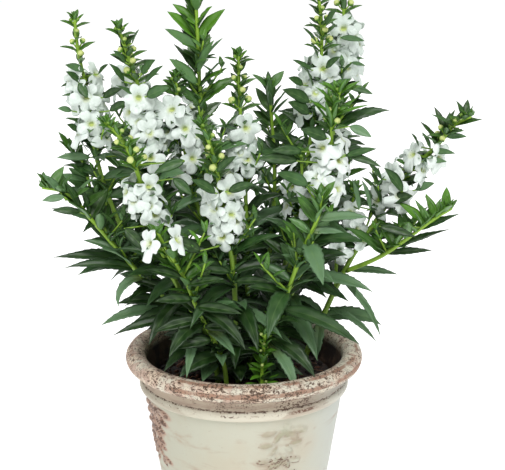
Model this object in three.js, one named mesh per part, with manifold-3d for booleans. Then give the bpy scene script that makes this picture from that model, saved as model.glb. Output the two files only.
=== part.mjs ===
// A potted angelonia: a glazed clay pot with a rolled rim, potting mix, leafy stems and white blooms.
// Millimetres, +Z up. The pot's axis is the Z axis and its base lies on z = 0.
// +X is to the right and -Y towards the side that the plant is usually looked at from.

import * as THREE from "three";
import { mergeVertices } from "three/addons/utils/BufferGeometryUtils.js";
import Module from "manifold-3d";

const wasm = await Module();
wasm.setup();

// Pot
const potFacets = 24;
const wall = 6.5;
const floorHeight = 9;
const rollRadius = 69;
const rollHalfWidth = 6.4;
const rollHalfHeight = 5.8;
const rollHeight = 129;
const baseRadius = 45;
const waistRadius = 54.6; // of the body, at waistHeight
const waistHeight = 55;
const bodyTopRadius = 63.2;
const bodyTopHeight = 108;
const drainRadius = 4.5;
const drainDistance = 24;

// Potting mix
const mixHeight = 118;
const mixGap = 0.3;
const stemGap = 0.35;

// Stems
const spanLength = 35;

// Levels down a stem, measured from its tip
const tuftDepth = 5;
const budSpacing = 7.5;
const bloomSpacing = 9.5;
const bloomLead = 5;
const leafLead = 13;
const leafSpacing = 28;
const youngLeafSpacing = 15.5;
const shortLeaf = 38;
const longLeaf = 45;
const sprayFoot = 6;
const cutGap = 0.3;
const lowestLeaf = 141;

// Degrees that leaves pointing sideways are rolled to the light
const leafRoll = 42;

// Blooms
const bloomRadius = 10.4;
const bloomReach = 7.6;
const throatDepth = 2.6;
const petalThickness = 1.3;
const calyxRadius = 1.5;
const neckedBud = 2.3;

// Room kept between pieces that belong to different nodes
const room = 0.4;

// Edges shorter than this are closed up after joining
const sliver = 0.02;

// How near its seat a piece may meet its own stem and the other pieces of its node
const stemReach = 7;
const rootReach = 4.5;

// Each row is one stem: its points from the foot up, the thickness at both ends, how many levels
// of buds and blooms it carries under its tuft, the turn of its first pair and its leaves' size.
// A stem whose host is named is a side branch of that stem.
const stems = [
  {
    name: "a", thick: [2.2, 1.1], buds: 4, blooms: 5, turn: 15, leaf: 1, seed: 11,
    path: [[-17, 1, 101], [-19, 0, 131], [-47, 2, 165], [-77, 8, 211], [-92, 14, 254],
      [-98, 20, 298], [-103, 23, 322], [-105, 25, 343]],
  },
  {
    name: "b", thick: [2.2, 1.1], buds: 5, blooms: 5, turn: 5, leaf: 1, seed: 12,
    path: [[-9, -8, 101], [-12, -9, 132], [-34, -9, 182], [-52, -5, 239], [-60, 0, 277],
      [-65, 2, 305], [-71, 4, 323], [-77, 5, 341]],
  },
  {
    name: "c", thick: [2.1, 1.1], buds: 5, blooms: 4, turn: 40, leaf: 1, seed: 13,
    path: [[-15, -20, 101], [-18, -23, 133], [-48, -34, 203], [-59, -42, 243], [-65, -46, 266],
      [-72, -49, 282], [-82, -50, 294]],
  },
  {
    name: "d", thick: [2.3, 1.1], buds: 0, blooms: 0, turn: 10, leaf: 1, seed: 14,
    path: [[-6, 7, 101], [-10, 7, 130], [-22, 8, 229], [-26, 12, 280], [-28, 15, 318],
      [-29, 18, 347], [-30, 20, 368]],
  },
  {
    name: "e", thick: [2.1, 1.1], buds: 5, blooms: 4, turn: 60, leaf: 1, seed: 15,
    path: [[-3, -20, 101], [-4, -23, 130], [-8, -31, 208], [-13, -37, 241], [-17, -39, 264],
      [-21, -41, 280], [-26, -41, 291]],
  },
  {
    name: "f", thick: [2, 1], buds: 5, blooms: 4, turn: 20, leaf: 1, seed: 16,
    path: [[2, 5, 101], [2, 6, 129], [2, 8, 210], [1, 10, 235], [-2, 12, 283],
      [-3, 14, 308], [-3, 15, 322]],
  },
  {
    name: "g", thick: [2, 1], buds: 0, blooms: 0, turn: 35, leaf: 1, seed: 17,
    path: [[5, 21, 101], [5, 23, 130], [17, 36, 188], [20, 46, 239], [18, 50, 272], [16, 52, 296]],
  },
  {
    name: "h", thick: [2.1, 1], buds: 5, blooms: 4, turn: 25, leaf: 1, seed: 18,
    path: [[12, 12, 101], [12, 13, 130], [27, 15, 188], [39, 21, 246], [46, 27, 290],
      [49, 31, 327], [48, 31, 345], [46, 31, 356]],
  },
  {
    name: "i", thick: [2.2, 1], buds: 4, blooms: 4, turn: 80, leaf: 1, seed: 19,
    path: [[16, 28, 101], [16, 29, 131], [31, 33, 177], [49, 40, 228], [60, 47, 279],
      [64, 50, 324], [63, 51, 349], [61, 51, 369]],
  },
  {
    name: "j", thick: [2, 1], buds: 4, blooms: 4, turn: 50, leaf: 1, seed: 20,
    path: [[12, -10, 101], [12, -12, 131], [36, -12, 189], [48, -16, 236], [53, -19, 268],
      [55, -21, 296], [59, -23, 309]],
  },
  {
    name: "k", thick: [1.9, 1], buds: 0, blooms: 0, turn: 30, leaf: 0.9, seed: 21,
    path: [[12, -30, 101], [11, -32, 132], [27, -40, 185], [38, -52, 221], [44, -59, 237],
      [46, -63, 253]],
  },
  {
    name: "l", thick: [1.9, 1], buds: 1, blooms: 3, turn: 70, leaf: 0.9, seed: 22,
    path: [[4, -5, 101], [5, -6, 132], [22, -6, 167], [33, -3, 209], [36, -1, 238], [36, 0, 262]],
  },
  {
    name: "m", thick: [2.3, 1.1], buds: 4, blooms: 5, turn: 10, leaf: 1, seed: 23,
    path: [[36, 19, 101], [41, 23, 122], [49, 26, 140], [57, 25, 160], [72, 20, 193],
      [87, 16, 218], [101, 12, 243], [121, 8, 265], [132, 6, 279], [141, 5, 284]],
  },
  {
    name: "n", host: "m", thick: [1.7, 1], buds: 0, blooms: 0, turn: 85, leaf: 1, seed: 24,
    path: [[66, 22, 178], [87, 9, 192], [106, 0, 209], [120, -6, 222], [129, -10, 229]],
  },
  {
    name: "o", host: "m", thick: [1.6, 1], buds: 1, blooms: 1, turn: 0, leaf: 0.7, seed: 25,
    path: [[59, 25, 160], [60, 22, 189], [62, 20, 203], [68, 20, 219], [71, 20, 235]],
  },
  {
    name: "x", host: "d", thick: [1.6, 1], buds: 2, blooms: 5, turn: 30, leaf: 0.9, seed: 36,
    path: [[-18, 7.7, 196], [-27, 4, 220], [-34, 1, 250], [-39, 0, 280], [-42, 1, 311]],
  },
  {
    name: "p", thick: [2, 1], buds: 0, blooms: 0, turn: 45, leaf: 1, seed: 26,
    path: [[-25, -5, 101], [-25, -6, 132], [-71, -9, 193], [-94, -12, 222], [-104, -13, 235],
      [-114, -14, 242], [-124, -15, 244]],
  },
  {
    name: "q", thick: [2, 1], buds: 0, blooms: 0, turn: 20, leaf: 0.9, seed: 27,
    path: [[-21, 13, 101], [-23, 14, 131], [-79, 22, 197], [-97, 28, 228], [-103, 32, 249],
      [-113, 33, 258]],
  },
  {
    name: "r", thick: [1.9, 1], buds: 0, blooms: 1, turn: 10, leaf: 0.9, seed: 28,
    path: [[-11, -32, 101], [-12, -35, 133], [-28, -47, 175], [-39, -59, 206], [-47, -66, 222],
      [-51, -70, 232]],
  },
  {
    name: "s", thick: [1.5, 0.9], buds: 2, blooms: 0, turn: 0, leaf: 0.45, seed: 29,
    path: [[13, -41, 101], [11, -42, 131], [12, -44, 147], [13, -46, 161]],
  },
  {
    name: "t", thick: [1.9, 1], buds: 2, blooms: 2, turn: 65, leaf: 0.9, seed: 30,
    path: [[-9, 18, 101], [-14, 20, 130], [-46, 34, 199], [-66, 42, 256], [-73, 47, 293],
      [-74, 49, 323]],
  },
  {
    name: "u", thick: [2, 1], buds: 2, blooms: 3, turn: 35, leaf: 1, seed: 31,
    path: [[-6, 33, 101], [-8, 37, 130], [-20, 58, 190], [-27, 72, 246], [-29, 80, 284]],
  },
  {
    name: "v", thick: [2, 1], buds: 2, blooms: 3, turn: 75, leaf: 1, seed: 32,
    path: [[26, 38, 101], [29, 42, 130], [48, 60, 190], [61, 76, 240], [65, 82, 276]],
  },
  {
    name: "w", thick: [1.9, 1], buds: 0, blooms: 0, turn: 55, leaf: 1, seed: 33,
    path: [[-24, 28, 101], [-29, 33, 130], [-58, 56, 180], [-76, 72, 228], [-82, 78, 258]],
  },
];

// The long lower leaves: stem, height on it, turn (0 = +X, 90 = +Y), length, width, rise and droop
// in degrees. These hang over the rim or stand out of the plant's outline.
const longLeaves = [
  ["a", 190, 188, 56, 8.5, 14, 18],
  ["a", 212, 172, 46, 8, 18, 12],
  ["p", 190, 190, 44, 8, 16, 26],
  ["p", 162, 196, 50, 9, 14, 42],
  ["q", 184, 168, 46, 8, 16, 26],
  ["c", 162, 192, 54, 9, 10, 34],
  ["c", 176, 238, 46, 10, 4, 56],
  ["b", 164, 198, 50, 10, 8, 36],
  ["b", 176, 22, 44, 10, 10, 40],
  ["b", 148, 262, 32, 9, 8, 60],
  ["r", 142, 204, 32, 12, 8, 52],
  ["r", 166, 232, 38, 11, 10, 62],
  ["r", 176, 318, 44, 10, 4, 56],
  ["e", 148, 268, 30, 9, 10, 64],
  ["e", 172, 292, 44, 11, 6, 66],
  ["e", 184, 222, 50, 10, 8, 62],
  ["k", 152, 322, 40, 11, 0, 54],
  ["k", 172, 328, 58, 10, 4, 34],
  ["k", 184, 250, 42, 12, 8, 70],
  ["k", 218, 286, 38, 12, 0, 50],
  ["j", 148, 252, 30, 9, 8, 62],
  ["j", 166, 300, 48, 11, -4, 56],
  ["j", 184, 338, 50, 10, 16, 40],
  ["l", 152, 304, 32, 9, 10, 60],
  ["m", 172, 326, 46, 5, -26, 44],
  ["m", 152, 335, 40, 5, -6, 44],
  ["m", 178, 356, 34, 6, 6, 20],
  ["n", 194, 2, 30, 5.5, 8, 10],
  ["n", 199, -4, 36, 5.5, 24, 8],
  ["n", 212, -8, 27, 5.5, 28, 6],
  ["m", 203, 175, 40, 10, 12, 24],
  ["h", 174, 12, 48, 10, 10, 46],
  ["f", 178, 300, 46, 10, 8, 50],
  ["f", 168, 200, 46, 10, 6, 50],
  ["i", 178, 55, 46, 10, 10, 50],
  ["g", 176, 95, 44, 10, 8, 54],
  ["u", 172, 115, 44, 10, 6, 56],
  ["w", 172, 150, 46, 10, 4, 54],
];

// Places that a leaf, bloom or bud may take when its first one is taken already:
// degrees of turn, degrees of rise, share of its length.
const leafPlaces = [
  [0, 0, 1], [12, 4, 1], [-12, 4, 1], [0, 14, 1], [0, -12, 1], [24, 8, 0.95], [-24, 8, 0.95],
  [20, -10, 0.9], [-20, -10, 0.9], [0, 0, 0.78], [36, 6, 0.8], [-36, 6, 0.8], [0, 26, 0.75],
  [0, 0, 0.58], [28, 22, 0.62], [-28, 22, 0.62], [50, 10, 0.6], [-50, 10, 0.6],
];
const bloomPlaces = [
  [0, 0, 1], [14, 0, 1.05], [-14, 0, 1.05], [0, 12, 1.1], [0, -12, 1.1], [26, 8, 1.15],
  [-26, 8, 1.15], [26, -10, 1.2], [-26, -10, 1.2], [0, 20, 1.35], [0, -24, 1.35], [40, 0, 1.3],
  [-40, 0, 1.3], [0, 0, 1.5],
];

const degree = Math.PI / 180;
const up = new THREE.Vector3(0, 0, 1);

// What a bloom's own heading is bent by, towards the light
const light = new THREE.Vector3(0, -0.42, 0.16);

// A stream of even draws between 0 and 1 from a whole-number seed
function draws(seed) {
  let state = seed;
  return () => {
    state = (Math.imul(state, 1664525) + 1013904223) >>> 0;
    return state / 4294967296;
  };
}

function mix(a, b, share) {
  return a + (b - a) * share;
}

// Closed body through rings of points. A ring may have a multiple of its neighbour's points, and a
// ring of one point closes the body there.
function skin(rings) {
  const spots = rings.flat().flatMap((p) => [p.x, p.y, p.z]);
  const faces = [];
  let start = 0;
  for (let k = 0; k + 1 < rings.length; k += 1) {
    const next = start + rings[k].length;
    belt(faces, start, rings[k].length, next, rings[k + 1].length);
    start = next;
  }
  lid(faces, 0, rings[0].length, 1);
  lid(faces, start, rings[rings.length - 1].length, -1);
  return solidOf(spots, faces);
}

// Triangles between two rings. Even and odd faces are split opposite ways, so that both faces of a
// folded blade are split alike.
function belt(faces, low, lowCount, high, highCount) {
  const count = Math.max(lowCount, highCount);
  const from = (i) => low + (Math.floor((i * lowCount) / count) % lowCount);
  const to = (i) => high + (Math.floor((i * highCount) / count) % highCount);
  for (let i = 0; i < count; i += 1) {
    const [a, b, c, d] = [from(i), from(i + 1), to(i + 1), to(i)];
    const split = i % 2 === 0 || a === b || c === d;
    const pair = split ? [[a, b, c], [a, c, d]] : [[a, b, d], [b, c, d]];
    pair.filter(([p, q, r]) => p !== q && q !== r && r !== p).forEach((face) => faces.push(...face));
  }
}

// Flat end over a ring
function lid(faces, start, count, way) {
  for (let i = 2; i < count; i += 1) {
    const [a, b, c] = [start + 1, start + i, start + ((i + 1) % count)];
    faces.push(a, way > 0 ? c : b, way > 0 ? b : c);
  }
}

// Solid from a list of coordinates and triangles, turned right side out
function solidOf(spots, faces) {
  let sum = 0;
  const corner = (i) => new THREE.Vector3(spots[i * 3], spots[i * 3 + 1], spots[i * 3 + 2]);
  for (let i = 0; i < faces.length; i += 3) {
    sum += corner(faces[i]).dot(corner(faces[i + 1]).cross(corner(faces[i + 2])));
  }
  const turned = sum < 0 ? faces.slice().reverse() : faces;
  return new wasm.Manifold(new wasm.Mesh({
    numProp: 3,
    vertProperties: new Float32Array(spots),
    triVerts: new Uint32Array(turned),
  }));
}

// The same solid with the very short edges that joins leave drawn together
function closeSlivers(solid) {
  const { vertProperties, triVerts } = solid.getMesh();
  const spot = (i) => new THREE.Vector3().fromArray(vertProperties, i * 3);
  const leader = Array.from({ length: vertProperties.length / 3 }, (_, i) => i);
  const lead = (i) => (leader[i] === i ? i : lead(leader[i]));
  for (let i = 0; i < triVerts.length; i += 1) {
    const a = triVerts[i];
    const b = triVerts[i % 3 === 2 ? i - 2 : i + 1];
    const short = spot(a).distanceTo(spot(b)) < sliver;
    if (short) leader[Math.max(lead(a), lead(b))] = Math.min(lead(a), lead(b));
  }
  const faces = [];
  for (let i = 0; i < triVerts.length; i += 3) {
    const [a, b, c] = [lead(triVerts[i]), lead(triVerts[i + 1]), lead(triVerts[i + 2])];
    if (a !== b && b !== c && a !== c) faces.push(a, b, c);
  }
  const kept = [...new Set(faces)].sort((a, b) => a - b);
  const rank = new Map(kept.map((old, k) => [old, k]));
  return solidOf(kept.flatMap((i) => spot(i).toArray()), faces.map((i) => rank.get(i)));
}

// Solid from one of three's closed geometries
function solidFrom(geometry) {
  geometry.deleteAttribute("normal");
  geometry.deleteAttribute("uv");
  const merged = mergeVertices(geometry, 1e-4);
  const index = merged.index.array;
  const faces = [];
  for (let i = 0; i < index.length; i += 3) {
    const [a, b, c] = [index[i], index[i + 1], index[i + 2]];
    if (a !== b && b !== c && a !== c) faces.push(a, b, c);
  }
  return solidOf(Array.from(merged.attributes.position.array), faces);
}

// Smooth course of a stem through its points, read by the distance along their chords
class Course {
  constructor(path) {
    this.points = path.map((p) => new THREE.Vector3(...p));
    this.marks = [0];
    for (let i = 1; i < this.points.length; i += 1) {
      this.marks.push(this.marks[i - 1] + this.points[i].distanceTo(this.points[i - 1]));
    }
    this.length = this.marks[this.marks.length - 1];
    this.slopes = this.points.map((p, i) => this.slope(i));
  }

  slope(i) {
    const last = this.points.length - 1;
    const step = (k) => this.points[k + 1].clone().sub(this.points[k])
      .divideScalar(this.marks[k + 1] - this.marks[k]);
    if (i === 0) return step(0);
    if (i === last) return step(last - 1);
    const before = this.marks[i] - this.marks[i - 1];
    const after = this.marks[i + 1] - this.marks[i];
    return step(i - 1).multiplyScalar(after).add(step(i).multiplyScalar(before))
      .divideScalar(before + after);
  }

  // Point at a distance from the foot and the direction of growth there
  at(distance) {
    const s = Math.min(Math.max(distance, 0), this.length);
    let i = 0;
    while (i < this.points.length - 2 && s > this.marks[i + 1]) i += 1;
    const span = this.marks[i + 1] - this.marks[i];
    const t = (s - this.marks[i]) / span;
    const weigh = (a, b, c, d) => this.points[i].clone().multiplyScalar(a)
      .addScaledVector(this.slopes[i], b * span)
      .addScaledVector(this.points[i + 1], c)
      .addScaledVector(this.slopes[i + 1], d * span);
    const point = weigh(2 * t ** 3 - 3 * t ** 2 + 1, t ** 3 - 2 * t ** 2 + t,
      -2 * t ** 3 + 3 * t ** 2, t ** 3 - t ** 2);
    const growth = weigh(6 * t ** 2 - 6 * t, 3 * t ** 2 - 4 * t + 1,
      -6 * t ** 2 + 6 * t, 3 * t ** 2 - 2 * t).normalize();
    return { point, growth };
  }

  // Distance from the foot at which the stem reaches a height
  reaching(height) {
    let s = 0;
    while (s < this.length && this.at(s).point.z < height) s += 1;
    return s;
  }
}

// Square stem section: four corners round a point of the course
function stemRing(course, distance, radius, turn) {
  const { point, growth } = course.at(distance);
  const across = new THREE.Vector3(0, 1, 0).cross(growth).normalize();
  const away = growth.clone().cross(across);
  return [45, 135, 225, 315].map((corner) => point.clone()
    .addScaledVector(across, radius * Math.cos((corner + turn) * degree))
    .addScaledVector(away, radius * Math.sin((corner + turn) * degree)));
}

function stemSolid(stem, distances) {
  const { course, thick, turn } = stem;
  return skin(distances.map((distance) => (
    stemRing(course, distance, mix(...thick, distance / course.length), turn))));
}

// Distances of a stem's rings, so that its straight spans stay near the course
function ringsBetween(from, to) {
  const spans = Math.ceil((to - from) / spanLength);
  return Array.from({ length: spans + 1 }, (_, k) => mix(from, to, k / spans));
}

// Hole in the potting mix that a stem stands in: the stem's lowest part, a little wider and deeper
function stemHole(stem) {
  const wide = stem.thick[0] + stemGap * Math.SQRT2;
  const rings = stem.lower.slice(0, 3).map((distance) => (
    stemRing(stem.course, distance, wide, stem.turn)));
  rings[0].forEach((p) => p.addScaledVector(up, -stemGap));
  return skin(rings);
}

// Leaf, bract or tuft blade. Its stations are pairs of share of length and share of half width.
// It starts just inside the stem, rises and then droops by an even bend, and is folded along its
// vein. Blades that point sideways are rolled, so that they turn their faces to the light.
function blade(joint, turn, size, pad) {
  const side = new THREE.Vector3(-Math.sin(turn), Math.cos(turn), 0);
  const out = new THREE.Vector3(Math.cos(turn), Math.sin(turn), 0);
  const roll = size.roll * Math.cos(turn);
  const bend = Math.max(size.droop, 0.01);
  const length = size.length + pad;
  const rings = size.stations.map(([share, breadth]) => {
    const angle = size.rise - bend * share;
    const middle = joint.seat.clone()
      .addScaledVector(out, joint.inset + length * (Math.sin(size.rise) - Math.sin(angle)) / bend)
      .addScaledVector(up, length * (Math.cos(angle) - Math.cos(size.rise)) / bend);
    if (breadth === 0) return [middle];
    const level = out.clone().multiplyScalar(-Math.sin(angle)).addScaledVector(up, Math.cos(angle));
    const across = side.clone().multiplyScalar(Math.cos(roll)).addScaledVector(level, Math.sin(roll));
    const normal = level.multiplyScalar(Math.cos(roll)).addScaledVector(side, -Math.sin(roll));
    const half = size.width / 2 * breadth + pad;
    const deep = (size.thick / 2) * Math.min(1, 0.45 + breadth) + pad;
    const edge = (sign) => middle.clone().addScaledVector(across, sign * half)
      .addScaledVector(normal, half * size.fold);
    const low = middle.clone().addScaledVector(normal, -deep);
    if (size.plain) return [edge(1), edge(-1), low];
    return [edge(1), middle.clone().addScaledVector(normal, deep), edge(-1), low];
  });
  return skin(rings);
}

const leafStations = [[0, 0], [0.34, 1], [0.72, 0.7], [1, 0]];
const longLeafStations = [[0, 0], [0.3, 0.96], [0.62, 0.94], [0.66, 0.74], [1, 0]];
const shortStations = [[0, 0], [0.44, 1], [1, 0]];

function leafSize(length, width, rise, droop, stations) {
  return {
    length, width, rise: rise * degree, droop: droop * degree, roll: leafRoll * degree,
    thick: 1.1, fold: 0.28, stations, plain: false,
  };
}

function bractSize(length, width, rise, droop) {
  return {
    length, width, rise: rise * degree, droop: droop * degree, roll: 0.5 * leafRoll * degree,
    thick: 1, fold: 0.25, stations: shortStations, plain: true,
  };
}

// Direction of a turn and a rise above level
function heading(turn, rise) {
  return new THREE.Vector3(Math.cos(turn) * Math.cos(rise), Math.sin(turn) * Math.cos(rise),
    Math.sin(rise));
}

// Two directions square to a given one; the second points as far up as it can
function facingAxes(normal) {
  const right = new THREE.Vector3(0, 0, 1).cross(normal).normalize();
  return [right, normal.clone().cross(right)];
}

// Bud on its pedicel; the larger ones have a neck between the pedicel and the round head
function bud(joint, turn, rise, reach, radius, pad) {
  const axis = heading(turn, rise);
  const [right, high] = facingAxes(axis);
  const start = joint.seat.clone().addScaledVector(heading(turn, 0), joint.inset);
  const ring = (along, r) => [90, 210, 330].map((a) => start.clone().addScaledVector(axis, along)
    .addScaledVector(right, (r + pad) * Math.cos(a * degree))
    .addScaledVector(high, (r + pad) * Math.sin(a * degree)));
  const neck = radius > neckedBud ? [ring(reach - radius, 0.65)] : [];
  return skin([[start], ...neck, ring(reach + radius * 0.1, radius),
    [start.clone().addScaledVector(axis, reach + radius + pad)]]);
}

// Lobes of a bloom: the angle that each points to, half its spread, and its length's share.
// The two upper lobes are the small ones and the middle lower lobe is the longest.
const lobes = [
  { middle: 122, spread: 36, reach: 0.82 },
  { middle: 196, spread: 38, reach: 0.96 },
  { middle: 270, spread: 36, reach: 1.04 },
  { middle: 344, spread: 38, reach: 0.96 },
  { middle: 418, spread: 28, reach: 0.82 },
];

// Five-lobed bloom on its pedicel: the pedicel widens into the calyx, whose end is square to the
// way the bloom faces, and from there the petals spread to a shallow cup with a sunk throat
function bloom(joint, turn, rise, reach, radius, tilt, pad) {
  const way = heading(turn, rise);
  const face = way.clone().multiplyScalar(0.8).add(light).normalize();
  const start = joint.seat.clone().addScaledVector(heading(turn, 0), joint.inset);
  const calyx = start.clone().addScaledVector(way, reach);
  const centre = calyx.clone().addScaledVector(face, throatDepth + petalThickness);
  const ring = (middle, direction, r) => {
    const [right, high] = facingAxes(direction);
    return [86, 216, 324].map((a) => middle.clone()
      .addScaledVector(right, (r + pad) * Math.cos(a * degree))
      .addScaledVector(high, (r + pad) * Math.sin(a * degree)));
  };
  const [right, high] = facingAxes(face);
  const spot = (angle, r, lift) => centre.clone()
    .addScaledVector(right, r * Math.cos(angle)).addScaledVector(high, r * Math.sin(angle))
    .addScaledVector(face, lift);
  const outline = (lift) => lobes.flatMap((lobe) => {
    const middle = lobe.middle * degree + tilt;
    const spread = lobe.spread * degree;
    const long = radius * lobe.reach + pad;
    return [
      spot(middle - spread, radius * 0.45 + pad, lift - 0.6),
      spot(middle - spread * 0.45, long, lift + 1),
      spot(middle + spread * 0.45, long, lift + 1),
    ];
  });
  const edge = pad === 0 ? [outline(0)] : [outline(-pad), outline(pad)];
  return skin([[start], ring(calyx, face, calyxRadius), ...edge,
    [spot(0, 0, pad - throatDepth)]]);
}

// Pieces that have their place already
const placed = [];

function keep(node, solid, isStem = false) {
  const { min, max } = solid.boundingBox();
  placed.push({ node, solid, min, max, isStem });
}

// Whether a padded body stays clear of every piece: wholly of those of other nodes, and of those
// of its own node everywhere but near the seat that it grows from
function clear(guard, node, seat) {
  const { min, max } = guard.boundingBox();
  const middle = seat.toArray();
  return placed.every((item) => {
    const apart = [0, 1, 2].some((k) => item.max[k] < min[k] || item.min[k] > max[k]);
    if (apart) return true;
    const common = guard.intersect(item.solid);
    const empty = common.volume() < 1e-9;
    const box = common.boundingBox();
    common.delete();
    if (empty) return true;
    const reach = item.isStem ? stemReach : rootReach;
    return item.node === node && [0, 1, 2].every((k) => (
      box.min[k] > middle[k] - reach && box.max[k] < middle[k] + reach));
  });
}

// Puts a piece in the first of its places that is free
function grow(node, seat, places, maker) {
  return places.some((place) => {
    const guard = maker(place, room);
    const free = clear(guard, node, seat);
    guard.delete();
    if (free) keep(node, maker(place, 0));
    return free;
  });
}

function growBlade(node, joint, turn, size) {
  return grow(node, joint.seat, leafPlaces, ([dTurn, dRise, share], pad) => {
    const tried = { ...size, rise: size.rise + dRise * degree, length: size.length * share };
    return blade(joint, (turn + dTurn) * degree, tried, pad);
  });
}

function growBud(node, joint, turn, rise, reach, radius) {
  return grow(node, joint.seat, bloomPlaces, ([dTurn, dRise, share], pad) => (
    bud(joint, (turn + dTurn) * degree, (rise + dRise) * degree, reach * share, radius, pad)
  ));
}

// The bloom turns a little from the stem to the light
function growBloom(node, joint, turn, rise, radius, tilt) {
  return grow(node, joint.seat, bloomPlaces, ([dTurn, dRise, share], pad) => {
    const reach = bloomReach * share - throatDepth;
    return bloom(joint, (turn + dTurn) * degree, (rise + dRise) * degree, reach, radius, tilt, pad);
  });
}

// Where a piece joins a stem: the point in the middle of the stem's straight span and how far from
// there the piece starts
function jointAt(stem, distance) {
  const rings = stem.cut && distance > stem.cut ? stem.upper : stem.lower;
  let k = 0;
  while (k < rings.length - 2 && distance > rings[k + 1]) k += 1;
  const low = stem.course.at(rings[k]).point;
  const high = stem.course.at(rings[k + 1]).point;
  const radius = mix(...stem.thick, distance / stem.course.length);
  const share = (distance - rings[k]) / (rings[k + 1] - rings[k]);
  return { seat: low.lerp(high, share), inset: radius * 0.1 };
}

// Levels of a stem from its tip down: what each carries and where it stands
function levelsOf(stem) {
  const levels = [];
  let depth = tuftDepth;
  const add = (kind, order) => levels.push({
    kind, depth, order, turn: stem.turn + 90 * levels.length,
    joint: jointAt(stem, stem.course.length - depth),
    under: jointAt(stem, stem.course.length - depth - 2),
  });
  for (let k = 0; k < stem.buds; k += 1) {
    add("bud", k);
    depth += budSpacing;
  }
  if (stem.blooms > 0) depth += bloomLead;
  for (let k = 0; k < stem.blooms; k += 1) {
    add("bloom", k);
    depth += bloomSpacing;
  }
  if (stem.blooms > 0) depth += leafLead - bloomSpacing;
  const end = stem.course.length - (stem.host ? 12 : stem.course.reaching(lowestLeaf));
  for (let k = 0; depth < end; k += 1) {
    add("leaf", k);
    depth += mix(youngLeafSpacing, leafSpacing, Math.min(1, (stem.blooms + k) / 7));
  }
  return levels;
}

function growTuft(stem) {
  const draw = draws(stem.seed);
  const joint = jointAt(stem, stem.course.length - 2);
  for (let k = 0; k < 3; k += 1) {
    const length = 7 + 2 * draw();
    const turn = stem.turn + 45 + 120 * k + 20 * draw();
    growBlade(stem.top, joint, turn, bractSize(length, 3.4, 66 - 12 * draw(), 18));
  }
}

function growBlooms(stem) {
  const draw = draws(stem.seed + 100);
  levelsOf(stem).filter((level) => level.kind === "bloom").forEach((level) => {
    [0, 180].forEach((half) => {
      const turn = level.turn + half + 24 * (draw() - 0.5);
      const radius = bloomRadius * (0.92 + 0.14 * draw());
      const rise = 12 + 16 * draw();
      growBloom(stem.top, level.joint, turn, rise, radius, 0.5 * (draw() - 0.5));
    });
  });
}

function growBuds(stem) {
  const draw = draws(stem.seed + 200);
  levelsOf(stem).filter((level) => level.kind === "bud").forEach((level) => {
    [0, 180].forEach((half) => {
      const share = level.order / 4;
      const turn = level.turn + half + 16 * (draw() - 0.5);
      const length = mix(9, 14, share) + 2 * draw();
      const bract = bractSize(length, mix(3.4, 4.2, share), 36 - 8 * draw(), 34);
      growBud(stem.top, level.joint, turn, 62 - 14 * share, mix(3.6, 8, share), mix(1.5, 2.9, share));
      if (half === 180 * (level.order % 2)) growBlade(stem.top, level.under, turn, bract);
    });
  });
}

// One bract on every third level of blooms
function growBracts(stem) {
  const draw = draws(stem.seed + 300);
  levelsOf(stem).filter((level) => level.kind === "bloom" && level.order % 3 === 0)
    .forEach((level) => {
      const turn = level.turn + 60 + 60 * draw();
      growBlade(stem.top, level.under, turn, bractSize(14 + 5 * draw(), 4.4, -8 - 14 * draw(), 24));
    });
}

function growLeaves(stem) {
  const draw = draws(stem.seed + 400);
  levelsOf(stem).filter((level) => level.kind === "leaf").forEach((level) => {
    const share = Math.min(1, (level.depth - 5) / 150);
    [0, 180].forEach((half) => {
      const turn = level.turn + half + 22 * (draw() - 0.5);
      const length = mix(17, 46, share ** 0.85) * stem.leaf * (0.9 + 0.2 * draw());
      const width = mix(6.4, 11, share) * stem.leaf * (0.9 + 0.2 * draw());
      const rise = mix(56, 24, share) + 18 * (draw() - 0.5);
      const stations = length < shortLeaf ? shortStations : leafStations;
      growBlade(stem.green, level.joint, turn,
        leafSize(length, width, rise, mix(12, 56, share), stations));
    });
  });
}

function growLongLeaves() {
  longLeaves.forEach(([name, height, turn, length, width, rise, droop]) => {
    const stem = stems.find((row) => row.name === name);
    const joint = jointAt(stem, stem.course.reaching(height));
    const stations = length < longLeaf ? leafStations : longLeafStations;
    growBlade(stem.green, joint, turn, leafSize(length, width, rise, droop, stations));
  });
}

// Pot: turned profile from the middle of the base, up the outside, over the roll and down inside
function potProfile() {
  const outside = [
    [0, 0], [baseRadius, 0], [49.8, 28], [waistRadius, waistHeight], [57.9, 76],
    [bodyTopRadius, bodyTopHeight], [66.8, 112], [65.6, 116], [67.2, 122],
  ];
  const roll = [310, 350, 30, 70, 115, 165].map((angle) => [
    rollRadius + rollHalfWidth * Math.cos(angle * degree),
    rollHeight + rollHalfHeight * Math.sin(angle * degree),
  ]);
  const inside = [
    [bodyTopRadius - wall, bodyTopHeight], [waistRadius - wall, waistHeight],
    [baseRadius - wall, floorHeight],
    [0, floorHeight],
  ];
  return outside.concat(roll, inside);
}

function potSolid() {
  const points = potProfile().map(([r, z]) => new THREE.Vector2(r, z));
  const turned = new THREE.LatheGeometry(points, potFacets);
  turned.rotateX(Math.PI / 2);
  let solid = solidFrom(turned);
  for (let k = 0; k < 3; k += 1) {
    const turn = k * 120 * degree;
    const hole = new THREE.CylinderGeometry(drainRadius, drainRadius, floorHeight * 3, 8);
    hole.rotateX(Math.PI / 2);
    hole.translate(drainDistance * Math.cos(turn), drainDistance * Math.sin(turn), 0);
    solid = solid.subtract(solidFrom(hole));
  }
  return solid;
}

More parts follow.
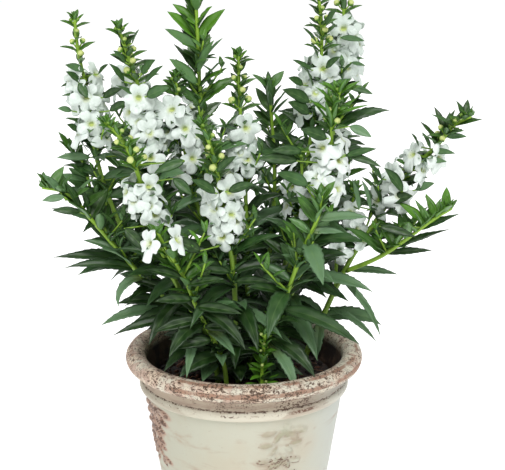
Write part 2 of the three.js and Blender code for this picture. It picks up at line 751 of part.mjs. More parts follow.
// Potting mix: fills the pot with a small gap and heaps up a little towards the stems
function mixSolid() {
  const top = bodyTopRadius - wall - mixGap;
  const points = [
    [0, floorHeight + mixGap], [baseRadius - wall - mixGap, floorHeight + mixGap],
    [waistRadius - wall - mixGap, waistHeight], [top, bodyTopHeight], [top, mixHeight - 3],
    [36, mixHeight + 0.4], [16, mixHeight + 1.8], [0, mixHeight + 2.2],
  ].map(([r, z]) => new THREE.Vector2(r, z));
  const turned = new THREE.LatheGeometry(points, potFacets);
  turned.rotateX(Math.PI / 2);
  const spots = turned.attributes.position;
  for (let i = 0; i < spots.count; i += 1) {
    const [x, y, z] = [spots.getX(i), spots.getY(i), spots.getZ(i)];
    const r = Math.hypot(x, y);
    if (z > mixHeight - 2 && r > 1) {
      const turn = Math.atan2(y, x);
      spots.setZ(i, z + 1.3 * Math.sin(3 * turn + r / 7) * Math.cos(5 * turn - r / 11));
    }
  }
  let solid = solidFrom(turned);
  stems.filter((stem) => !stem.host).forEach((stem) => {
    solid = solid.subtract(stemHole(stem));
  });
  return closeSlivers(solid);
}

function meshOf(name, solid, look) {
  const made = solid.getMesh();
  const geometry = new THREE.BufferGeometry();
  geometry.setAttribute("position", new THREE.Float32BufferAttribute(made.vertProperties, 3));
  geometry.setIndex(new THREE.Uint32BufferAttribute(made.triVerts, 1));
  geometry.computeVertexNormals();
  const mesh = new THREE.Mesh(geometry, new THREE.MeshStandardMaterial(look));
  mesh.name = name;
  return mesh;
}

const glaze = { color: 0xd6d5c5, roughness: 0.45, metalness: 0 };
const earth = { color: 0x2a1d18, roughness: 0.95, metalness: 0 };
const foliage = { color: 0x3f6a2a, roughness: 0.5, metalness: 0 };
const petals = { color: 0xf4f5f6, roughness: 0.7, metalness: 0 };

// A flower spray is a node of its own from a little under its lowest blooms up; below the cut the
// stem with its leaves is another, which its side branches belong to.
stems.forEach((stem) => {
  stem.course = new Course(stem.path);
  stem.green = `stem_${stem.host ?? stem.name}`;
  stem.top = stem.blooms > 0 ? `spray_${stem.name}` : stem.green;
  const top = stem.course.length;
  stem.lower = ringsBetween(0, top);
  if (stem.blooms > 0) {
    stem.cut = top - tuftDepth - stem.buds * budSpacing - bloomLead
      - (stem.blooms - 1) * bloomSpacing - sprayFoot;
    stem.lower = ringsBetween(0, stem.cut - cutGap);
    stem.upper = ringsBetween(stem.cut, top);
  }
});

const pot = potSolid();
const pottingMix = mixSolid();
keep("pot", pot);
keep("potting_mix", pottingMix);
stems.forEach((stem) => {
  keep(stem.green, stemSolid(stem, stem.lower), true);
  if (stem.cut) keep(stem.top, stemSolid(stem, stem.upper), true);
});
growLongLeaves();
stems.forEach(growBlooms);
stems.forEach(growTuft);
stems.forEach(growBuds);
stems.forEach(growBracts);
stems.forEach(growLeaves);

// The body that a node's pieces fuse into
function bodyOf(node) {
  const pieces = placed.filter((item) => item.node === node).map((item) => item.solid);
  const bodies = wasm.Manifold.union(pieces).decompose();
  return closeSlivers(bodies.sort((a, b) => b.volume() - a.volume())[0]);
}

const angelonia = new THREE.Group();
angelonia.name = "potted_angelonia";
angelonia.add(meshOf("pot", pot, glaze), meshOf("potting_mix", pottingMix, earth));
stems.forEach((stem) => {
  if (!stem.host) angelonia.add(meshOf(stem.green, bodyOf(stem.green), foliage));
  if (stem.top !== stem.green) angelonia.add(meshOf(stem.top, bodyOf(stem.top), petals));
});

export default angelonia;
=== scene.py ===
import math

import bpy
import numpy as np
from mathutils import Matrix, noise
from mathutils.kdtree import KDTree


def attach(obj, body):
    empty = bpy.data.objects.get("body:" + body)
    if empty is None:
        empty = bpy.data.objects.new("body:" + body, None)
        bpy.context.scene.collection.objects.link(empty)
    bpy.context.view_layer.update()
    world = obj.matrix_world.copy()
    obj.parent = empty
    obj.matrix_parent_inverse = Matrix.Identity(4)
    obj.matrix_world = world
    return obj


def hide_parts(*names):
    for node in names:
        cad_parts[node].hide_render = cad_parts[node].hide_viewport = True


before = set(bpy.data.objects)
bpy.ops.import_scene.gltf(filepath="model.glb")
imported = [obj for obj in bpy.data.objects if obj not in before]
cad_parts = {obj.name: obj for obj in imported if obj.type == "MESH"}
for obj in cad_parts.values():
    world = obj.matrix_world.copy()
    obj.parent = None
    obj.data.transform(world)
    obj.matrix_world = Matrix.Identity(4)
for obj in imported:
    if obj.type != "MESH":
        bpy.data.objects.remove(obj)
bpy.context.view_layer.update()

# Lengths are in millimetres and angles in degrees; each mesh is turned to metres as it is made
mm = 0.001
up = np.array([0.0, 0.0, 1.0])


# Camera, floor and light

camera = {
    "place": (0, -1172.36, 561.67), "down": 16.749, "right": 0.267, "focal": 1950, "width": 505,
    "sensor": 36, "sees": 50,
}
studio = {
    "floor": 12000, "sunk": 0.3, "floorColour": (252, 252, 252), "glow": 0.36, "sky": 0.52,
    "key": {"place": (200, -1400, 1900), "size": 1000, "power": 27},
    "fill": {"place": (-1300, -900, 900), "size": 1200, "power": 4},
    "rim": {"place": (-300, 1300, 1300), "size": 900, "power": 10},
    "aim": (0, 0, 190),
}


def addObject(name, data):
    made = bpy.data.objects.new(name, data)
    bpy.context.scene.collection.objects.link(made)
    return made


def makeCamera():
    lens = bpy.data.cameras.new("camera")
    lens.sensor_width = camera["sensor"]
    lens.lens = camera["focal"] / camera["width"] * lens.sensor_width
    lens.clip_end = camera["sees"]
    holder = addObject("camera", lens)
    holder.location = [v * mm for v in camera["place"]]
    holder.rotation_euler = (math.radians(90 - camera["down"]), 0, math.radians(-camera["right"]))
    bpy.context.scene.camera = holder


def makeLamp(name):
    row = studio[name]
    lamp = bpy.data.lights.new(name, "AREA")
    lamp.shape = "DISK"
    lamp.size = row["size"] * mm
    lamp.energy = row["power"]
    holder = addObject(name, lamp)
    holder.location = place = np.array(row["place"]) * mm
    toward = np.array(studio["aim"]) * mm - place
    flat = math.hypot(toward[0], toward[1])
    holder.rotation_euler = (math.atan2(flat, -toward[2]), 0, math.atan2(-toward[0], toward[1]))


def makeStudio():
    scene = bpy.context.scene
    scene.view_settings.view_transform = "Standard"
    scene.world = bpy.data.worlds.new("studio")
    scene.world.use_nodes = True
    sky = scene.world.node_tree.nodes["Background"]
    sky.inputs["Color"].default_value = (1, 1, 1, 1)
    sky.inputs["Strength"].default_value = studio["sky"]
    for name in ("key", "fill", "rim"):
        makeLamp(name)
    half = studio["floor"] / 2 * mm
    corners = [(-half, -half, 0), (half, -half, 0), (half, half, 0), (-half, half, 0)]
    ground = bpy.data.meshes.new("floor")
    ground.from_pydata(corners, [], [(0, 1, 2, 3)])
    floor = addObject("floor", ground)
    floor.location.z = -studio["sunk"] * mm
    matt = Finish("studio_floor", {"floor": studio["floorColour"]})
    matt.surface({"Base Color": "floor", "Roughness": 0.9, "Emission Color": (1, 1, 1, 1),
                  "Emission Strength": studio["glow"]})
    ground.materials.append(matt.material)
    print("studio set")


# Finishes: arithmetic on a Wire adds Math nodes, and node() adds any other node

def paint(red, green, blue):  # screen colour from 0 to 255, as the linear colour that nodes take
    straight = [c / 255 for c in (red, green, blue)]
    return tuple(c / 12.92 if c <= 0.04045 else ((c + 0.055) / 1.055) ** 2.4 for c in straight) + (1,)


class Wire:
    def __init__(self, finish, socket):
        self.finish = finish
        self.socket = socket

    def math(self, operation, *others):
        return self.finish.node("ShaderNodeMath", {"operation": operation}, [self, *others])

    def __add__(self, other):
        return self.math("ADD", other)

    def __sub__(self, other):
        return self.math("SUBTRACT", other)

    def __mul__(self, other):
        return self.math("MULTIPLY", other)

    def __neg__(self):
        return self.math("MULTIPLY", -1)

    def __abs__(self):
        return self.math("ABSOLUTE")

    def __rsub__(self, other):
        return self.finish.node("ShaderNodeMath", {"operation": "SUBTRACT"}, [other, self])

    __radd__ = __add__
    __rmul__ = __mul__

    def wave(self):  # from 0 to 1 and back
        return self.math("SINE") * 0.5 + 0.5

    def step(self, low, high):  # 0 below low, 1 above high, smooth between
        return self.finish.node("ShaderNodeMapRange", {"interpolation_type": "SMOOTHSTEP"},
                                {"Value": self, "From Min": low, "From Max": high})


class Finish:
    def __init__(self, name, colours):
        self.colours = {key: paint(*value) for key, value in colours.items()}
        self.material = bpy.data.materials.new(name)
        self.material.use_nodes = True
        self.tree = self.material.node_tree
        self.shader = self.tree.nodes["Principled BSDF"]

    def node(self, kind, settings, inputs, output=0):
        made = self.tree.nodes.new(kind)
        for key, value in settings.items():
            setattr(made, key, value)
        for key, value in inputs.items() if isinstance(inputs, dict) else enumerate(inputs):
            self.put(made.inputs[key], value)
        return Wire(self, made.outputs[output])

    def put(self, socket, value):
        if isinstance(value, Wire):
            self.tree.links.new(value.socket, socket)
        else:
            socket.default_value = self.colours[value] if isinstance(value, str) else value

    def coats(self, colour, *layers):  # each layer is its share, and its colour or the colour's name
        for share, layer in layers:
            colour = self.node("ShaderNodeMix", {"data_type": "RGBA"}, {0: share, 6: colour, 7: layer}, 2)
        return colour

    def place(self):  # the point of the surface, in the frame
        return self.node("ShaderNodeTexCoord", {}, [], "Object")

    def stretched(self, x, y, z):  # the same, with each axis scaled
        return self.node("ShaderNodeVectorMath", {"operation": "MULTIPLY"}, [self.place(), (x, y, z)])

    def grain(self, scale, detail=3, rough=0.55, where=None, bend=0):
        inputs = {"Scale": scale, "Detail": detail, "Roughness": rough, "Distortion": bend,
                  "Vector": where or self.place()}
        return self.node("ShaderNodeTexNoise", {}, inputs, "Fac")

    def split(self, vector):
        return [self.node("ShaderNodeSeparateXYZ", {}, [vector], k) for k in range(3)]

    def carried(self, name):  # the three numbers that the mesh carries under a name
        return self.split(self.node("ShaderNodeAttribute", {"attribute_name": name}, [], "Vector"))

    def bump(self, height, distance, strength):
        inputs = {"Height": height, "Distance": distance * mm, "Strength": strength}
        return self.node("ShaderNodeBump", {}, inputs, "Normal")

    def surface(self, sockets):
        for key, value in sockets.items():
            self.put(self.shader.inputs[key], value)
        return self.material


# the whitish leaf colour is a painted sheen
leafPaint = {
    # dark is painted shade on the low and deep leaves
    "dark": (12, 38, 3), "old": (20, 52, 6), "glaucous": (56, 98, 44), "paintedSheen": (112, 146, 108),
    "young": (84, 138, 26), "rib": (112, 146, 84), "under": (100, 136, 90), "tired": (136, 140, 44),
    "stalkYoung": (144, 184, 56), "stalkOld": (124, 160, 56), "budGreen": (112, 150, 48),
    "budCream": (202, 214, 132),
}
shaded = (0.12, 0.235)  # heights in metres: painted shade under the canopy, so the leaves darken from the upper height down to the lower


def foliageFinish():
    f = Finish("foliage", leafPaint)
    along, across, side = f.carried("place")
    kind, tone, young = f.carried("growth")
    width = abs(across)
    mottle = f.grain(160, 4)
    blotch = f.grain(38, 2)
    fibres = f.grain(90, 3, where=f.stretched(1, 1, 0.12))
    # painted shade under the canopy: low is 1 on the leaves below the shaded heights, less on young ones;
    # it also dims their ribs and undersides
    low = (1 - f.split(f.place())[2].step(*shaded)) * (1 - young.step(0.15, 0.6))
    veins = (along * 22 - width * 4.5).wave() * (1 - width) * (along * 20).step(0, 1)
    rib = 1 - width.step(0.02, 0.1)
    top = f.coats(
        "old", ((tone * 0.8 + blotch * 0.6 - 0.35).step(0.05, 0.7), "glaucous"),
        # painted sheen: a whitish coat on the leaves of high tone
        ((tone + blotch * 0.5).step(0.8, 1.2) * (1 - abs(young)) * 0.8, "paintedSheen"),
        ((young + mottle * 0.3 - 0.15).step(0.0, 0.9), "young"),
        # the dark coat: painted shade on the low leaves; on deep leaves, where young is below 0, it is both
        # their older colour and painted shade
        (((-young).step(0.1, 0.6) * 0.3 + low * 0.85) * (1 - tone * tone * 0.8), "dark"),
        ((tone + blotch * 0.2 - along * 0.1 - abs(young) * 2).step(1.02, 1.1) * 0.6, "tired"),
        (veins * 0.18, "rib"), (rib * 0.24 * (1 - low * 0.6), "rib"))
    leaf = f.coats(f.coats("under", (0.35 + low * 0.3, top)), (side.step(-0.9, -0.4), top))
    stalk = f.coats("stalkOld", ((young + mottle * 0.4 - 0.2).step(0.0, 1.0), "stalkYoung"),
                    (fibres.step(0.5, 0.75) * 0.35, "old"))
    fresh = young * 0.9 + (1 - along).step(0.3, 0.75) * 0.9
    bud = f.coats("budCream", (fresh.step(0.35, 1.0), "budGreen"))
    isLeaf = kind.step(0.4, 0.6) * (1 - kind.step(1.4, 1.6))
    rough = 0.32 + mottle * 0.16 + (1 - isLeaf) * 0.1 + width.step(0.7, 0.95) * isLeaf * 0.4
    height = isLeaf * (veins * 0.5 - rib * 0.4) + mottle * 0.25
    return f.surface({
        "Base Color": f.coats(stalk, (kind.step(0.4, 0.6), leaf), (kind.step(1.4, 1.6), bud)),
        "Roughness": rough, "Normal": f.bump(height, 0.5, 0.5), "Specular IOR Level": 0.48})


petalPaint = {
    "white": (237, 245, 240), "shade": (208, 221, 211), "root": (208, 218, 176),
    # deep is the painted shadow in the upper half of the throat
    "throat": (196, 210, 118), "deep": (146, 162, 92), "speck": (104, 98, 100),
}


def petalFinish():
    f = Finish("petals", petalPaint)
    along, across, side = f.carried("place")  # along is 0 in the throat and 1 at the edge
    _, tone, high = f.carried("growth")  # high is 1 at the upper lip and -1 at the lower one
    cloud = f.grain(240, 3)
    veins = (across * 17 + cloud * 3).wave()
    inner = 1 - along + (cloud - 0.5) * 0.3
    ring = 1 - abs(along - 0.24).step(0.02, 0.1)
    # painted shadow: the upper half of the throat turns to the deep grey-green
    throat = f.coats("throat", (high.step(-0.5, 0.4), "deep"))
    colour = f.coats(
        "white", ((tone * 0.35 + cloud * 0.8).step(0.4, 0.95), "shade"),
        (veins * (1 - along).step(0.0, 0.8) * 0.22, "shade"),
        ((inner - high * 0.06).step(0.62, 0.84) * 0.8, "root"),
        # painted shade: the upper lip darker near the throat
        (high.step(0.1, 0.9) * (1 - along).step(0.1, 0.7) * 0.55, "shade"),
        ((inner - high * 0.03).step(0.8, 0.9) * 0.9, throat),
        (f.grain(1300, 1).step(0.66, 0.7) * ring * 0.8, "speck"),
        # painted shade on the backs of the petals
        ((1 - side).step(0.8, 1.2) * 0.35, "shade"))
    return f.surface({
        "Base Color": colour, "Roughness": 0.55 + cloud * 0.15, "Specular IOR Level": 0.3,
        "Normal": f.bump(veins * 0.35 + cloud * 0.6, 0.35, 0.4)})


# Stems, as the solids have them: radii at the foot and tip, buds, blooms, turn, leaf scale, seed, path

stemRows = {
    "a": ((2.2, 1.1), 4, 5, 15, 1, 11, [(-17, 1, 101), (-19, 0, 131), (-47, 2, 165), (-77, 8, 211),
          (-92, 14, 254), (-98, 20, 298), (-103, 23, 322), (-105, 25, 343)]),
    "b": ((2.2, 1.1), 5, 5, 5, 1, 12, [(-9, -8, 101), (-12, -9, 132), (-34, -9, 182), (-52, -5, 239),
          (-60, 0, 277), (-65, 2, 305), (-71, 4, 323), (-77, 5, 341)]),
    "c": ((2.1, 1.1), 5, 4, 40, 1, 13, [(-15, -20, 101), (-18, -23, 133), (-48, -34, 203),
          (-59, -42, 243), (-65, -46, 266), (-72, -49, 282), (-82, -50, 294)]),
    "d": ((2.3, 1.1), 0, 0, 10, 1, 14, [(-6, 7, 101), (-10, 7, 130), (-22, 8, 229), (-26, 12, 280),
          (-28, 15, 318), (-29, 18, 347), (-30, 20, 368)]),
    "e": ((2.1, 1.1), 5, 4, 60, 1, 15, [(-3, -20, 101), (-4, -23, 130), (-8, -31, 208),
          (-13, -37, 241), (-17, -39, 264), (-21, -41, 280), (-26, -41, 291)]),
    "f": ((2, 1), 5, 4, 20, 1, 16, [(2, 5, 101), (2, 6, 129), (2, 8, 210), (1, 10, 235), (-2, 12, 283),
          (-3, 14, 308), (-3, 15, 322)]),
    "g": ((2, 1), 0, 0, 35, 1, 17, [(5, 21, 101), (5, 23, 130), (17, 36, 188), (20, 46, 239),
          (18, 50, 272), (16, 52, 296)]),
    "h": ((2.1, 1), 5, 4, 25, 1, 18, [(12, 12, 101), (12, 13, 130), (27, 15, 188), (39, 21, 246),
          (46, 27, 290), (49, 31, 327), (48, 31, 345), (46, 31, 356)]),
    "i": ((2.2, 1), 4, 4, 80, 1, 19, [(16, 28, 101), (16, 29, 131), (31, 33, 177), (49, 40, 228),
          (60, 47, 279), (64, 50, 324), (63, 51, 349), (61, 51, 369)]),
    "j": ((2, 1), 4, 4, 50, 1, 20, [(12, -10, 101), (12, -12, 131), (36, -12, 189), (48, -16, 236),
          (53, -19, 268), (55, -21, 296), (59, -23, 309)]),
    "k": ((1.9, 1), 0, 0, 30, 0.9, 21, [(12, -30, 101), (11, -32, 132), (27, -40, 185), (38, -52, 221),
          (44, -59, 237), (46, -63, 253)]),
    "l": ((1.9, 1), 1, 3, 70, 0.9, 22, [(4, -5, 101), (5, -6, 132), (22, -6, 167), (33, -3, 209),
          (36, -1, 238), (36, 0, 262)]),
    "m": ((2.3, 1.1), 4, 5, 10, 1, 23, [(36, 19, 101), (41, 23, 122), (49, 26, 140), (57, 25, 160),
          (72, 20, 193), (87, 16, 218), (101, 12, 243), (121, 8, 265), (132, 6, 279), (141, 5, 284)]),
    "n": ((1.7, 1), 0, 0, 85, 1, 24, [(66, 22, 178), (87, 9, 192), (106, 0, 209), (120, -6, 222),
          (129, -10, 229)]),
    "o": ((1.6, 1), 1, 1, 0, 0.7, 25, [(59, 25, 160), (60, 22, 189), (62, 20, 203), (68, 20, 219),
          (71, 20, 235)]),
    "x": ((1.6, 1), 2, 5, 30, 0.9, 36, [(-18, 7.7, 196), (-27, 4, 220), (-34, 1, 250), (-39, 0, 280),
          (-42, 1, 311)]),
    "p": ((2, 1), 0, 0, 45, 1, 26, [(-25, -5, 101), (-25, -6, 132), (-71, -9, 193), (-94, -12, 222),
          (-104, -13, 235), (-114, -14, 242), (-124, -15, 244)]),
    "q": ((2, 1), 0, 0, 20, 0.9, 27, [(-21, 13, 101), (-23, 14, 131), (-79, 22, 197), (-97, 28, 228),
          (-103, 32, 249), (-113, 33, 258)]),
    "r": ((1.9, 1), 0, 1, 10, 0.9, 28, [(-11, -32, 101), (-12, -35, 133), (-28, -47, 175),
          (-39, -59, 206), (-47, -66, 222), (-51, -70, 232)]),
    "s": ((1.5, 0.9), 2, 0, 0, 0.45, 29, [(13, -41, 101), (11, -42, 131), (12, -44, 147),
          (13, -46, 161)]),
    "t": ((1.9, 1), 2, 2, 65, 0.9, 30, [(-9, 18, 101), (-14, 20, 130), (-46, 34, 199), (-66, 42, 256),
          (-73, 47, 293), (-74, 49, 323)]),
    "u": ((2, 1), 2, 3, 35, 1, 31, [(-6, 33, 101), (-8, 37, 130), (-20, 58, 190), (-27, 72, 246),
          (-29, 80, 284)]),
    "v": ((2, 1), 2, 3, 75, 1, 32, [(26, 38, 101), (29, 42, 130), (48, 60, 190), (61, 76, 240),
          (65, 82, 276)]),
    "w": ((1.9, 1), 0, 0, 55, 1, 33, [(-24, 28, 101), (-29, 33, 130), (-58, 56, 180), (-76, 72, 228),
          (-82, 78, 258)]),
}
hosts = {"n": "m", "o": "m", "x": "d"}  # side branches, and the stems that they grow from
stemKeys = ("thick", "buds", "blooms", "turn", "leaf", "seed", "path")
stems = [{"name": name, **dict(zip(stemKeys, row))} for name, row in stemRows.items()]

# Long lower leaves of each stem: height, turn, length, width, rise and droop
longLeaves = {
    "a": [(190, 188, 56, 8.5, 14, 18), (212, 172, 46, 8, 18, 12)],
    "b": [(164, 198, 50, 10, 8, 36), (176, 22, 44, 10, 10, 40), (148, 262, 32, 9, 8, 60)],
    "c": [(162, 192, 54, 9, 10, 34), (176, 238, 46, 10, 4, 56)],
    "e": [(148, 268, 30, 9, 10, 64), (172, 292, 44, 11, 6, 66), (184, 222, 50, 10, 8, 62)],
    "f": [(178, 300, 46, 10, 8, 50), (168, 200, 46, 10, 6, 50)],
    "g": [(176, 95, 44, 10, 8, 54)],
    "h": [(174, 12, 48, 10, 10, 46)],
    "i": [(178, 55, 46, 10, 10, 50)],
    "j": [(148, 252, 30, 9, 8, 62), (166, 300, 48, 11, -4, 56), (184, 338, 50, 10, 16, 40)],
    "k": [(152, 322, 40, 11, 0, 54), (172, 328, 58, 10, 4, 34), (184, 250, 42, 12, 8, 70),
          (218, 286, 38, 12, 0, 50)],
    "l": [(152, 304, 32, 9, 10, 60)],
    "m": [(172, 326, 46, 5, -26, 44), (152, 335, 40, 5, -6, 44), (178, 356, 34, 6, 6, 20),
          (203, 175, 40, 10, 12, 24)],
    "n": [(194, 2, 30, 5.5, 8, 10), (199, -4, 36, 5.5, 24, 8), (212, -8, 27, 5.5, 28, 6)],
    "p": [(190, 190, 44, 8, 16, 26), (162, 196, 50, 9, 14, 42)],
    "q": [(184, 168, 46, 8, 16, 26)],
    "r": [(142, 204, 32, 12, 8, 52), (166, 232, 38, 11, 10, 62), (176, 318, 44, 10, 4, 56)],
    "u": [(172, 115, 44, 10, 6, 56)],
    "w": [(172, 150, 46, 10, 4, 54)],
}
# Leaves drawn with the tone that gives the painted sheen: height, turn, length, width, rise and droop
sheenLeaves = {
    "c": [(158, 258, 44, 8, -4, 54)],
    "e": [(168, 310, 46, 8, 14, 46)],
    "j": [(190, 300, 40, 8, 22, 40)],
    "k": [(150, 300, 42, 9, -6, 58), (236, 14, 34, 7.5, 4, 16), (227, 4, 20, 6, 6, 20)],
    "m": [(141, 262, 26, 8.5, -16, 62)],
    "o": [(206, 350, 30, 7.5, 76, 6)],
    "p": [(182, 205, 30, 6.5, 24, 130)],
    "r": [(160, 300, 34, 8, 10, 40)],
}

levels = {
    "tuftDepth": 5, "budSpacing": 7.5, "bloomSpacing": 9.5, "bloomLead": 5, "leafLead": 13,
    "leafSpacing": 28, "youngLeafSpacing": 15.5, "sprayFoot": 6, "cutGap": 0.3, "lowestLeaf": 141,
    "branchFoot": 12, "spanLength": 35,
}
bloomShape = {
    "radius": 10.4, "reach": 7.6, "throatDepth": 2.6, "petal": 1.3, "light": np.array([0, -0.42, 0.16]),
    "lobes": [(122, 36, 0.82), (196, 38, 0.96), (270, 36, 1.04), (344, 38, 0.96), (418, 28, 0.82)],
    "lean": (1.3, 0.1, -0.7, 0.1, 1.3),  # the upper lip stands forward and the lower one curls back
    "petals": [(120, 0.9), (200, 1.03), (270, 1.16), (340, 1.03), (420, 0.9)],
    "round": 0.365, "sides": 42, "thick": 0.3, "cup": 0.19, "ruffle": 0.95, "corner": 0.45, "seen": 4,
    "least": 0.38, "neck": 0.72, "vary": (0.8, 1.16), "loose": 2.9, "curl": (0.5, 2.5), "phase": 6.3,
    "sunk": 2.3, "collar": (0.36, 0.16), "boss": (0.27, 0.09), "bossWidth": 0.3, "spread": 0.7,
}
leafRoll = 42
goldenTurn = 137.5
toothedFrom = 28  # length of the shortest leaf with a toothed edge


def bothSides(rows):  # turn, rise and share of the length; a row with a turn stands for its mirror too
    return [(sign * turn, *rest) for turn, *rest in rows for sign in ((1, -1) if turn else (1,))]


# Where a leaf, or a bloom or bud, may stand
leafPlaces = bothSides([
    (0, 0, 1), (12, 4, 1), (0, 14, 1), (0, -12, 1), (24, 8, 0.95), (20, -10, 0.9), (0, 0, 0.78),
    (36, 6, 0.8), (0, 26, 0.75), (0, 0, 0.58), (28, 22, 0.62), (50, 10, 0.6)])
bloomPlaces = bothSides([
    (0, 0, 1), (14, 0, 1.05), (0, 12, 1.1), (0, -12, 1.1), (26, 8, 1.15), (26, -10, 1.2),
    (0, 20, 1.35), (0, -24, 1.35), (40, 0, 1.3), (0, 0, 1.5)])


def mix(a, b, share):
    return a + (b - a) * share


class Draws:  # the solids' own random numbers
    factor, shift, end = 1664525, 1013904223, 2**32

    def __init__(self, seed):
        self.state = seed

    def __call__(self):
        self.state = (self.state * self.factor + self.shift) % self.end
        return self.state / self.end

    def between(self, low, high):
        return mix(low, high, self())

    def sway(self, width):  # as far below 0 as above
        return width * (self() - 0.5)


def drawOf(stem, shift):  # each kind of piece on a stem has draws of its own
    return Draws(stem["seed"] + shift)


def unit(v):
    return v / np.linalg.norm(v)


def heading(turn, rise):
    turn, rise = math.radians(turn), math.radians(rise)
    return np.array([math.cos(turn) * math.cos(rise), math.sin(turn) * math.cos(rise), math.sin(rise)])


def facingAxes(normal):
    right = unit(np.cross(up, normal))
    return right, np.cross(normal, right)


def turnsOf(count):
    return np.arange(count) * 2 * math.pi / count


def ringOf(centre, right, high, turns, radius):
    around = np.cos(turns)[:, None] * right + np.sin(turns)[:, None] * high
    return centre + around * np.reshape(radius, (-1, 1))


class Course:  # smooth line of a stem, read by the distance along its points' chords
    def __init__(self, path):
        self.points = np.array(path, float)
        spans = np.linalg.norm(np.diff(self.points, axis=0), axis=1)
        self.marks = np.concatenate([[0], np.cumsum(spans)])
        self.length = self.marks[-1]
        steps = np.diff(self.points, axis=0) / spans[:, None]
        before, after = spans[:-1, None], spans[1:, None]
        inner = (steps[:-1] * after + steps[1:] * before) / (before + after)
        self.slopes = np.concatenate([steps[:1], inner, steps[-1:]])

    def at(self, distance):
        s = min(max(distance, 0), self.length)
        k = np.searchsorted(self.marks[1:-1], s)
        span = self.marks[k + 1] - self.marks[k]
        t = (s - self.marks[k]) / span
        held = [self.points[k], self.slopes[k] * span, self.points[k + 1], self.slopes[k + 1] * span]
        shares = (2 * t**3 - 3 * t**2 + 1, t**3 - 2 * t**2 + t, -2 * t**3 + 3 * t**2, t**3 - t**2)
        slopes = (6 * t**2 - 6 * t, 3 * t**2 - 4 * t + 1, -6 * t**2 + 6 * t, 3 * t**2 - 2 * t)
        point, growth = (sum(w * v for w, v in zip(weights, held)) for weights in (shares, slopes))
        return point, unit(growth)

    def reaching(self, height):
        s = 0
        while s < self.length and self.at(s)[0][2] < height:
            s += 1
        return s


def ringsBetween(low, high):
    spans = math.ceil((high - low) / levels["spanLength"])
    return [mix(low, high, k / spans) for k in range(spans + 1)]


def prepareStems():
    for stem in stems:
        course = stem["course"] = Course(stem["path"])
        stem["host"] = hosts.get(stem["name"])
        stem["green"] = stem["top"] = "stem_" + (stem["host"] or stem["name"])
        stem["cut"] = course.length
        stem["lower"] = ringsBetween(0, course.length)
        if stem["blooms"]:
            stem["top"] = "spray_" + stem["name"]
            stem["cut"] = (course.length - levels["tuftDepth"] - stem["buds"] * levels["budSpacing"]
                           - levels["bloomLead"] - (stem["blooms"] - 1) * levels["bloomSpacing"]
                           - levels["sprayFoot"])
            stem["lower"] = ringsBetween(0, stem["cut"] - levels["cutGap"])
            stem["upper"] = ringsBetween(stem["cut"], course.length)


def jointAt(stem, distance):
    course = stem["course"]
    rings = stem["upper"] if stem["blooms"] and distance > stem["cut"] else stem["lower"]
    k = np.searchsorted(rings[1:-1], distance)
    low, high = course.at(rings[k])[0], course.at(rings[k + 1])[0]
    radius = mix(*stem["thick"], distance / course.length)
    seat = low + (high - low) * (distance - rings[k]) / (rings[k + 1] - rings[k])
    drift = course.at(distance)[0] - seat  # from the solid's straight span to the smooth line
    return {"seat": seat, "inset": radius * 0.1, "drift": drift, "radius": radius}


def jointBelow(stem, depth):  # depth is measured from the tip
    return jointAt(stem, stem["course"].length - depth)


def jointOver(stem, height):
    return jointAt(stem, stem["course"].reaching(height))


def freeJoint(seat):
    return {"seat": seat, "inset": 0, "drift": np.zeros(3)}


def levelsOf(stem, kinds=("bud", "bloom", "leaf")):
    found = []
    top = stem["course"].length
    depth = levels["tuftDepth"]

    def add(kind, order, spacing):
        nonlocal depth
        found.append({
            "kind": kind, "depth": depth, "order": order, "turn": stem["turn"] + 90 * len(found),
            "joint": jointBelow(stem, depth), "under": jointAt(stem, top - depth - 2)})
        depth += spacing

    for k in range(stem["buds"]):
        add("bud", k, levels["budSpacing"])
    if stem["blooms"]:
        depth += levels["bloomLead"]
    for k in range(stem["blooms"]):
        add("bloom", k, levels["bloomSpacing"])
    if stem["blooms"]:
        depth += levels["leafLead"] - levels["bloomSpacing"]
    end = top - (levels["branchFoot"] if stem["host"] else stem["course"].reaching(levels["lowestLeaf"]))
    k = 0
    while depth < end:
        share = min(1, (stem["blooms"] + k) / 7)
        add("leaf", k, mix(levels["youngLeafSpacing"], levels["leafSpacing"], share))
        k += 1
    return [level for level in found if level["kind"] in kinds]


def leafSize(length, width, rise, droop, roll=leafRoll, fold=0.28):
    return {"length": length, "width": width, "rise": rise, "droop": droop, "roll": roll, "fold": fold}


def bractSize(*size):
    return leafSize(*size, roll=leafRoll / 2, fold=0.25)


def bladeLine(joint, turn, size, shares):
    turn, rise = math.radians(turn), math.radians(size["rise"])
    bend = max(math.radians(size["droop"]), 0.01)
    side = np.array([-math.sin(turn), math.cos(turn), 0])
    out = np.array([math.cos(turn), math.sin(turn), 0])
    shares = np.asarray(shares, float).reshape(-1, 1)
    angle = rise - bend * shares
    reach = joint["inset"] + size["length"] * (math.sin(rise) - np.sin(angle)) / bend
    lift = size["length"] * (np.cos(angle) - math.cos(rise)) / bend
    middle = joint["seat"] + out * reach + up * lift
    level = -out * np.sin(angle) + up * np.cos(angle)
    return middle, side, level, math.radians(size["roll"]) * math.cos(turn)


def startOf(joint, turn):
    return joint["seat"] + heading(turn, 0) * joint["inset"]


def bloomLine(joint, turn, rise, reach):
    way = heading(turn, rise)
    face = unit(way * 0.8 + bloomShape["light"])
    start = startOf(joint, turn)
    calyx = start + way * reach
    centre = calyx + face * (bloomShape["throatDepth"] + bloomShape["petal"])
    return start, calyx, centre, face


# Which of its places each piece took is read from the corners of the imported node

class Packed:
    near = 0.06

    def __init__(self, node):
        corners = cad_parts[node].data.vertices
        self.tree = KDTree(len(corners))
        for k, corner in enumerate(corners):
            self.tree.insert(corner.co / mm, k)
        self.tree.balance()

    def has(self, spot):
        return self.tree.find(spot)[2] < self.near


